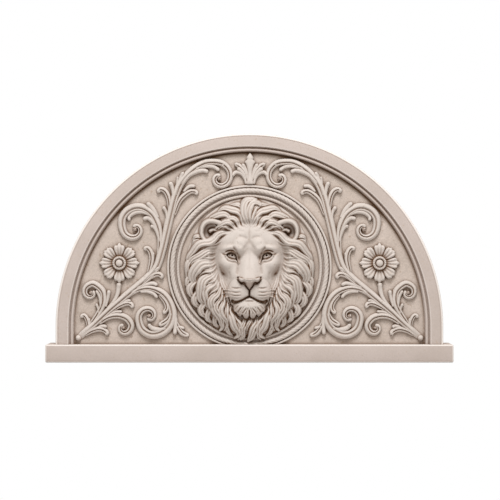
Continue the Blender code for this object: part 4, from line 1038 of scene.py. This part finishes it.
# A fine grid pushed out by the relief and trimmed to what is kept, its edge turned back into the stone
def reliefPiece(name, relief, kept, bounds, pitch, centre=None, unit=headSquare, paintedShade=None):
    left, right, low, high = bounds
    middle = centre or (0, headZ)
    columns, rows = round((right - left) / pitch), round((high - low) / pitch)
    bm = bmesh.new()
    layer = bm.verts.layers.float.new("hollow")
    grid = bmesh.ops.create_grid(bm, x_segments=columns, y_segments=rows, size=1)["verts"]
    place = np.array([v.co[:2] for v in grid])
    column = np.rint((place[:, 0] + 1) / 2 * columns).astype(int)
    row = np.rint((place[:, 1] + 1) / 2 * rows).astype(int)
    x, z = np.meshgrid(np.linspace(left, right, columns + 1), np.linspace(low, high, rows + 1))
    out = relief(x, z)
    inside = kept(x, z, out)
    solid = np.maximum(out, 0)
    # painted shade: darker where the relief lies below its own smoothed level, in creases and gaps
    hollow = (blurred(solid, reliefShape["hollowReach"] / pitch) - solid) / reliefShape["hollowDepth"]
    hollow = np.minimum(hollow, reliefShape["mostShade"])
    # and any painted shade given for the piece
    if paintedShade:
        hollow = np.maximum(hollow, paintedShade(x, z))
    for v, px, pz, po, ph in zip(grid, x[row, column], z[row, column], out[row, column], hollow[row, column]):
        v.co = (middle[0] + px * unit, fieldY - max(po, 0.1) * unit, middle[1] + pz * unit)
        v[layer] = min(max(ph, 0), 1)
    bmesh.ops.delete(bm, geom=[v for v, keep in zip(grid, inside[row, column]) if not keep], context="VERTS")
    rim = [e for e in bm.edges if e.is_boundary]
    grown = bmesh.ops.extrude_edge_only(bm, edges=rim)["geom"]
    for v in grown:
        if isinstance(v, bmesh.types.BMVert):
            v.co.y = fieldY + reliefShape["back"]
    bmesh.ops.holes_fill(bm, edges=[e for e in bm.edges if e.is_boundary], sides=0)
    finishPiece(name, meshFrom(bm, name), carvedStone, 75)


faceShadeLines = (
    # painted shade along the face's dark lines, where its creases lie in shade: (line, width, strength)
    (((25.2, 12.4), (22.8, 12.6), (20.8, 14.2), (18, 14.9), (15, 13.8), (13.1, 10.8), (12.5, 7.6),
      (11.4, 4.2)), 0.8, 0.85),
    (((22.8, 11), (20.6, 8.6), (18, 7.2), (15.4, 7), (13.2, 6.8)), 0.55, 0.6),
    (((25.5, 13.6), (22.6, 16), (19, 16.7), (15.8, 15.8), (13.6, 13.8), (12, 10.4)), 0.65, 0.3),
    (((15.4, 18.8), (13.4, 16.2), (11.6, 13.2), (9.8, 11.2), (9, 9)), 0.9, 0.4),
    (((1.9, 24), (3.6, 20.5), (6.4, 17.4)), 1.2, 0.12),
    (((0, -23), (0, -26.5), (0, -30)), 0.8, 0.6),
    (((0, -29.8), (2.6, -31), (5.2, -32.4), (8.2, -33.9), (11.4, -34.9), (14.4, -35.2),
      (17.4, -34.2)), 0.9, 0.74),
    (((11.4, -10.8), (11, -13), (9.4, -15.2), (7.4, -16.2), (5.8, -16), (4.2, -17.2), (2.8, -19.4),
      (0.4, -22.6)), 0.9, 0.8),
    (((20.8, -30), (20.9, -34.2), (19.4, -38), (16.8, -41.4), (16.2, -45)), 1, 0.64),
)


# Painted shade along the face's dark lines, in the pupils, round the face's edge, beside the nose, under the
# cheek and down the leather of the nose
def faceShade(x, z):
    x = np.abs(x)
    paintedShade = np.zeros(x.shape)
    for points, width, strength in faceShadeLines:
        far = alongLine(x, z, points, width * 3)[0]
        paintedShade = np.maximum(paintedShade, strength * fading(far / width))
    off = np.hypot(x - lionEye["iris"][0], z - lionEye["iris"][1])
    paintedShade = np.maximum(paintedShade, 1 - ramp(0.8, 1.5, off))
    paintedShade = np.maximum(paintedShade, 0.45 * fading((off - lionEye["irisSize"]) / 0.5))
    for level, _, _ in lionMouth["rows"][:3]:
        dots = np.sin((x - 8) / 1.6 * np.pi) ** 4 * ramp(7.5, 9.5, x) * ramp(20.5, 18.5, x)
        row = fading((z - level + 0.3) / 0.6) * ramp(6.5, 9, x) * ramp(21, 18, x)
        paintedShade = np.maximum(paintedShade, (0.22 + 0.3 * dots) * row)
    # painted shade round the face's edge, down the sides of the nose and in the shadow under the cheek
    paintedShade = np.maximum(paintedShade, 0.3 * ramp(-8, 0.5, offFace(x, z)) * ramp(30, 18, z))
    paintedShade = np.maximum(paintedShade, 0.28 * fading((x - 11.6) / 2.0) * ramp(-9, -3, z) * ramp(9, 2, z))
    paintedShade = np.maximum(paintedShade, 0.45 * swell(x, z, (26.4, -5.5), (3.2, 6.5), -0.42))
    leather = ramp(-13.4, -16, z) * ramp(-24, -21, z) * (1 - ramp(5, 8, x + (-15 - z) * 0.8))
    return np.maximum(paintedShade, 0.42 * leather)


def makeLion():
    reliefPiece("lionFace", headRelief, lambda x, z, out: (out > 0) & (offFace(x, z) < 2.5),
                (-40, 40, -54, 46), 0.28, paintedShade=faceShade)
    reliefPiece("lionMane", headRelief, lambda x, z, out: (out > 0.4) & (offFace(x, z) > -1.5),
                (-68, 68, -79, 71), 0.38)


# Rosettes: eight cupped petals, pointed and broad by turns, with a ring of beads and a button
rosetteShape = {
    "centre": (130.4, 81.4), "petals": 8, "reach": 21.5, "pitch": 0.26,
    "beads": 20, "beadRing": 5.6, "beadSize": 1.25, "button": 3.6,
    # how far out the petal reaches, from its middle to its side: (radians, squares)
    "pointed": ((0, 0.04, 0.085, 0.125, 0.17, 0.24, 0.29, 0.335, 0.365, 0.393),
                (20.7, 20.1, 18.9, 18, 18.2, 18.2, 17.6, 16.6, 15.4, 13.8)),
    "broad": ((0, 0.05, 0.1, 0.15, 0.19, 0.24, 0.29, 0.335, 0.365, 0.393),
              (18.4, 19.1, 19.6, 19.3, 18.5, 18.6, 17.8, 16.7, 15.4, 13.8)),
}


def rosetteRelief(x, z):
    r, turn = np.hypot(x, z), np.arctan2(z, x)
    part = 2 * np.pi / rosetteShape["petals"]
    number = np.floor((turn + part / 2) / part).astype(int)
    bearing = np.abs((turn + part / 2) % part - part / 2)
    pointed, broad = (through(bearing, *rosetteShape[kind]) for kind in ("pointed", "broad"))
    tip = np.where(number % 2 == 0, pointed, broad)
    inset = tip - r
    body = through(r, (4, 7, 11, 15, 18, 20.5), (1.9, 2.3, 3.6, 4.7, 4.5, 3.6))
    folds = 0.45 * np.cos(2 * np.pi * bearing / 0.25) * ramp(6, 10, r) * ramp(19.5, 15.5, r)
    gap = (part / 2 - bearing) * r
    petal = (body + folds) * (0.6 + 0.4 * np.sqrt(np.clip(inset / 1.5, 0, 1)))
    petal = petal - 0.7 * fading(gap / 0.42) * ramp(5, 8, r)
    petal = np.where(inset > 0, petal, -1)
    bead = 0.5 + 0.5 * np.cos(rosetteShape["beads"] * turn)
    across = (r - rosetteShape["beadRing"]) / rosetteShape["beadSize"]
    collar = 4.4 + 1.6 * rounded(across) * (0.5 + 0.5 * bead ** 0.6)
    collar = np.where(np.abs(across) < 1, collar, np.where(across < 0, 3.9, -1))
    button = 4.6 + 2.3 * rounded(r / rosetteShape["button"])
    return np.maximum(np.maximum(petal, collar), np.where(r < rosetteShape["button"], button, -1))


# painted shade round the petals' roots beside the collar
def rosetteShade(x, z):
    r = np.hypot(x, z)
    return 0.45 * ramp(12.5, 7.5, r) * ramp(6.3, 7.1, r)


def makeRosette(name, side):
    reach, (across, up) = rosetteShape["reach"], rosetteShape["centre"]
    centre = (side * across * square, arch["sillHeight"] + up * square)
    reliefPiece(name, rosetteRelief, lambda x, z, out: out > 0, (-reach, reach, -reach, reach),
                rosetteShape["pitch"], centre, square, rosetteShade)


# Palmette over the ring: leaves either side of a lobed blade
palmette = {
    "axis": 0.6,
    # rows as the scrolls' strokes
    "leaves": {
        "curl": (((3.6, 160), (4.8, 165.6), (7.6, 170.2), (11.2, 172.3), (14.4, 172.3), (16.8, 170.4),
            (16.6, 168)), (1.5, 2.1, 2), 1),
        "topLobe": (((2.4, 163), (5.8, 172.6), (10.4, 178.2), (15.6, 181.4)), (1.8, 3.2, 1.9), 2),
        "lowLobe": (((3.2, 165), (7.2, 172.4), (12.8, 177.2)), (1.5, 2.8, 2.4), 1),
        "innerLobe": (((1.6, 165), (4.4, 174.4), (7.6, 181.2)), (1.6, 2.6, 2), 1),
    },
    "blade": ((0, 159.6), (0, 175), (0, 192)),
    # its half width from the foot to the tip
    "outline": (
        (0, 0.1, 0.25, 0.383, 0.506, 0.63, 0.69, 0.735, 0.762, 0.785, 0.815, 0.877, 0.938, 0.975, 1),
        (4.7, 4, 3, 2.8, 3.5, 4.6, 5.5, 5.5, 4.2, 3.2, 3.7, 3.2, 1.9, 0.9, 0.1),
    ),
}


def makePalmette():
    bm = bmesh.new()
    hollows = []
    shift = palmette["axis"]
    for points, widths, ridges in palmette["leaves"].values():
        for side in (1, -1):
            moved = [(x + side * shift, z) for x, z in points]
            addStroke(bm, (moved, widths, ridges), side, hollows)
    blade = [(x + shift, z) for x, z in palmette["blade"]]
    addStroke(bm, (blade, (0, 0, 0), 1), 1, hollows, outline=palmette["outline"])
    mesh = meshFrom(bm, "palmette")
    paint(mesh, "hollow", np.concatenate(hollows))
    finishPiece("palmette", mesh, carvedStone)


print("turning the arch, the ring and its ropes")
makeArch()
makeRing()
makeRope("rope")
makeRope("innerCord")
print("carving the scrolls")
makeScrollwork("scrollworkRight", 1)
makeScrollwork("scrollworkLeft", -1)
print("carving rosettes and palmette")
makeRosette("rosetteRight", 1)
makeRosette("rosetteLeft", -1)
makePalmette()
print("carving the lion")
headFields = carveField()
makeLion()


# The sill: a plain slab, with a painted highlight along its arrises
sillSlab = {"arris": 0.0045, "segments": 4, "highlight": 0.65, "highlightReach": 0.0035}


def makeSill():
    low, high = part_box("sill")
    bm = bmesh.new()
    bmesh.ops.create_cube(bm, size=1)
    for v in bm.verts:
        v.co = [low[n] + (v.co[n] + 0.5) * (high[n] - low[n]) for n in range(3)]
    bmesh.ops.bevel(bm, geom=bm.edges, offset=sillSlab["arris"], segments=sillSlab["segments"], profile=0.5,
                    affect="EDGES", material=-1)
    mesh = meshFrom(bm, "sillSlab")
    # a point near two or three faces of the box is on an arris
    reach = sillSlab["highlightReach"]
    near = [sum(min(abs(v.co[n] - low[n]), abs(v.co[n] - high[n])) < reach for n in range(3))
            for v in mesh.vertices]
    # painted highlight: paler along the arrises
    paint(mesh, "edgeHighlight", sillSlab["highlight"] * (np.array(near) >= 2))
    piece = stoneObject("sillSlab", mesh, frameStone, 60)
    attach(piece, "root")
    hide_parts("sill")


print("bedding the sill")
makeSill()


# Floor, light and camera
studio = {
    "world": 0.605, "worldColour": "FFF6EC", "floorLevel": -0.0005, "floorSize": 3,
    "keyPower": 252, "keyColour": "FBFCFF", "keySize": 1.8, "keyFrom": (0, -3.04, 4.62), "keyAt": (0, 0, 0.3),
}
view = {"lens": 100, "sensor": 36, "span": 1.5, "across": 0.0018, "height": 0.3375}


# Plain white, and full white to the camera, as on a cut-out photograph
def whiteStage(name):
    material = bpy.data.materials.new(name)
    material.use_nodes = True
    tree = material.node_tree
    tree.nodes.clear()
    seen = addNode(tree, "ShaderNodeLightPath").outputs["Is Camera Ray"]
    matt = addNode(tree, "ShaderNodeBsdfDiffuse", {}, {"Color": (0.6, 0.6, 0.6, 1)})
    glow = addNode(tree, "ShaderNodeEmission", {}, {"Color": (1, 1, 1, 1), "Strength": 1.0})
    mix = addNode(tree, "ShaderNodeMixShader", {}, {0: seen, 1: matt.outputs[0], 2: glow.outputs[0]})
    addNode(tree, "ShaderNodeOutputMaterial", {}, {"Surface": mix.outputs[0]})
    return material


def setStudio():
    bm = bmesh.new()
    bmesh.ops.create_grid(bm, x_segments=1, y_segments=1, size=studio["floorSize"])
    floorMesh = meshFrom(bm, "floor", outward=False)
    floorMesh.transform(Matrix.Translation((0, 0, studio["floorLevel"])))
    floor = bpy.data.objects.new("floor", floorMesh)
    bpy.context.scene.collection.objects.link(floor)
    floorMesh.materials.append(whiteStage("white studio floor"))
    world = bpy.data.worlds.new("white studio")
    bpy.context.scene.world = world
    world.use_nodes = True
    tree = world.node_tree
    back = tree.nodes["Background"]
    seen = addNode(tree, "ShaderNodeLightPath").outputs["Is Camera Ray"]
    tint = addNode(tree, "ShaderNodeMix", {"data_type": "RGBA"},
                   {0: seen, 6: linearColour(studio["worldColour"]), 7: (1, 1, 1, 1)})
    tree.links.new(tint.outputs[2], back.inputs["Color"])
    level = addNode(tree, "ShaderNodeMapRange", {}, {"Value": seen, "To Min": studio["world"], "To Max": 1.0})
    tree.links.new(level.outputs[0], back.inputs["Strength"])
    light = bpy.data.lights.new("soft box", "AREA")
    light.energy, light.size = studio["keyPower"], studio["keySize"]
    light.color = linearColour(studio["keyColour"])[:3]
    box = bpy.data.objects.new("soft box", light)
    box.location = studio["keyFrom"]
    box.rotation_euler = (Vector(studio["keyAt"]) - box.location).to_track_quat("-Z", "Y").to_euler()
    bpy.context.scene.collection.objects.link(box)


# Level and square on, with a long lens: the photograph's width spans 1.5 m of the frame's face
def setCamera():
    camera = bpy.data.cameras.new("camera")
    camera.lens, camera.sensor_width = view["lens"], view["sensor"]
    away = view["span"] * view["lens"] / view["sensor"]
    holder = bpy.data.objects.new("camera", camera)
    holder.location = (view["across"], arch["faceY"] - away, view["height"])
    holder.rotation_euler = (math.radians(90), 0, 0)
    bpy.context.scene.collection.objects.link(holder)
    bpy.context.scene.camera = holder


print("lighting")
setStudio()
setCamera()
bpy.context.scene.view_settings.view_transform = "Standard"
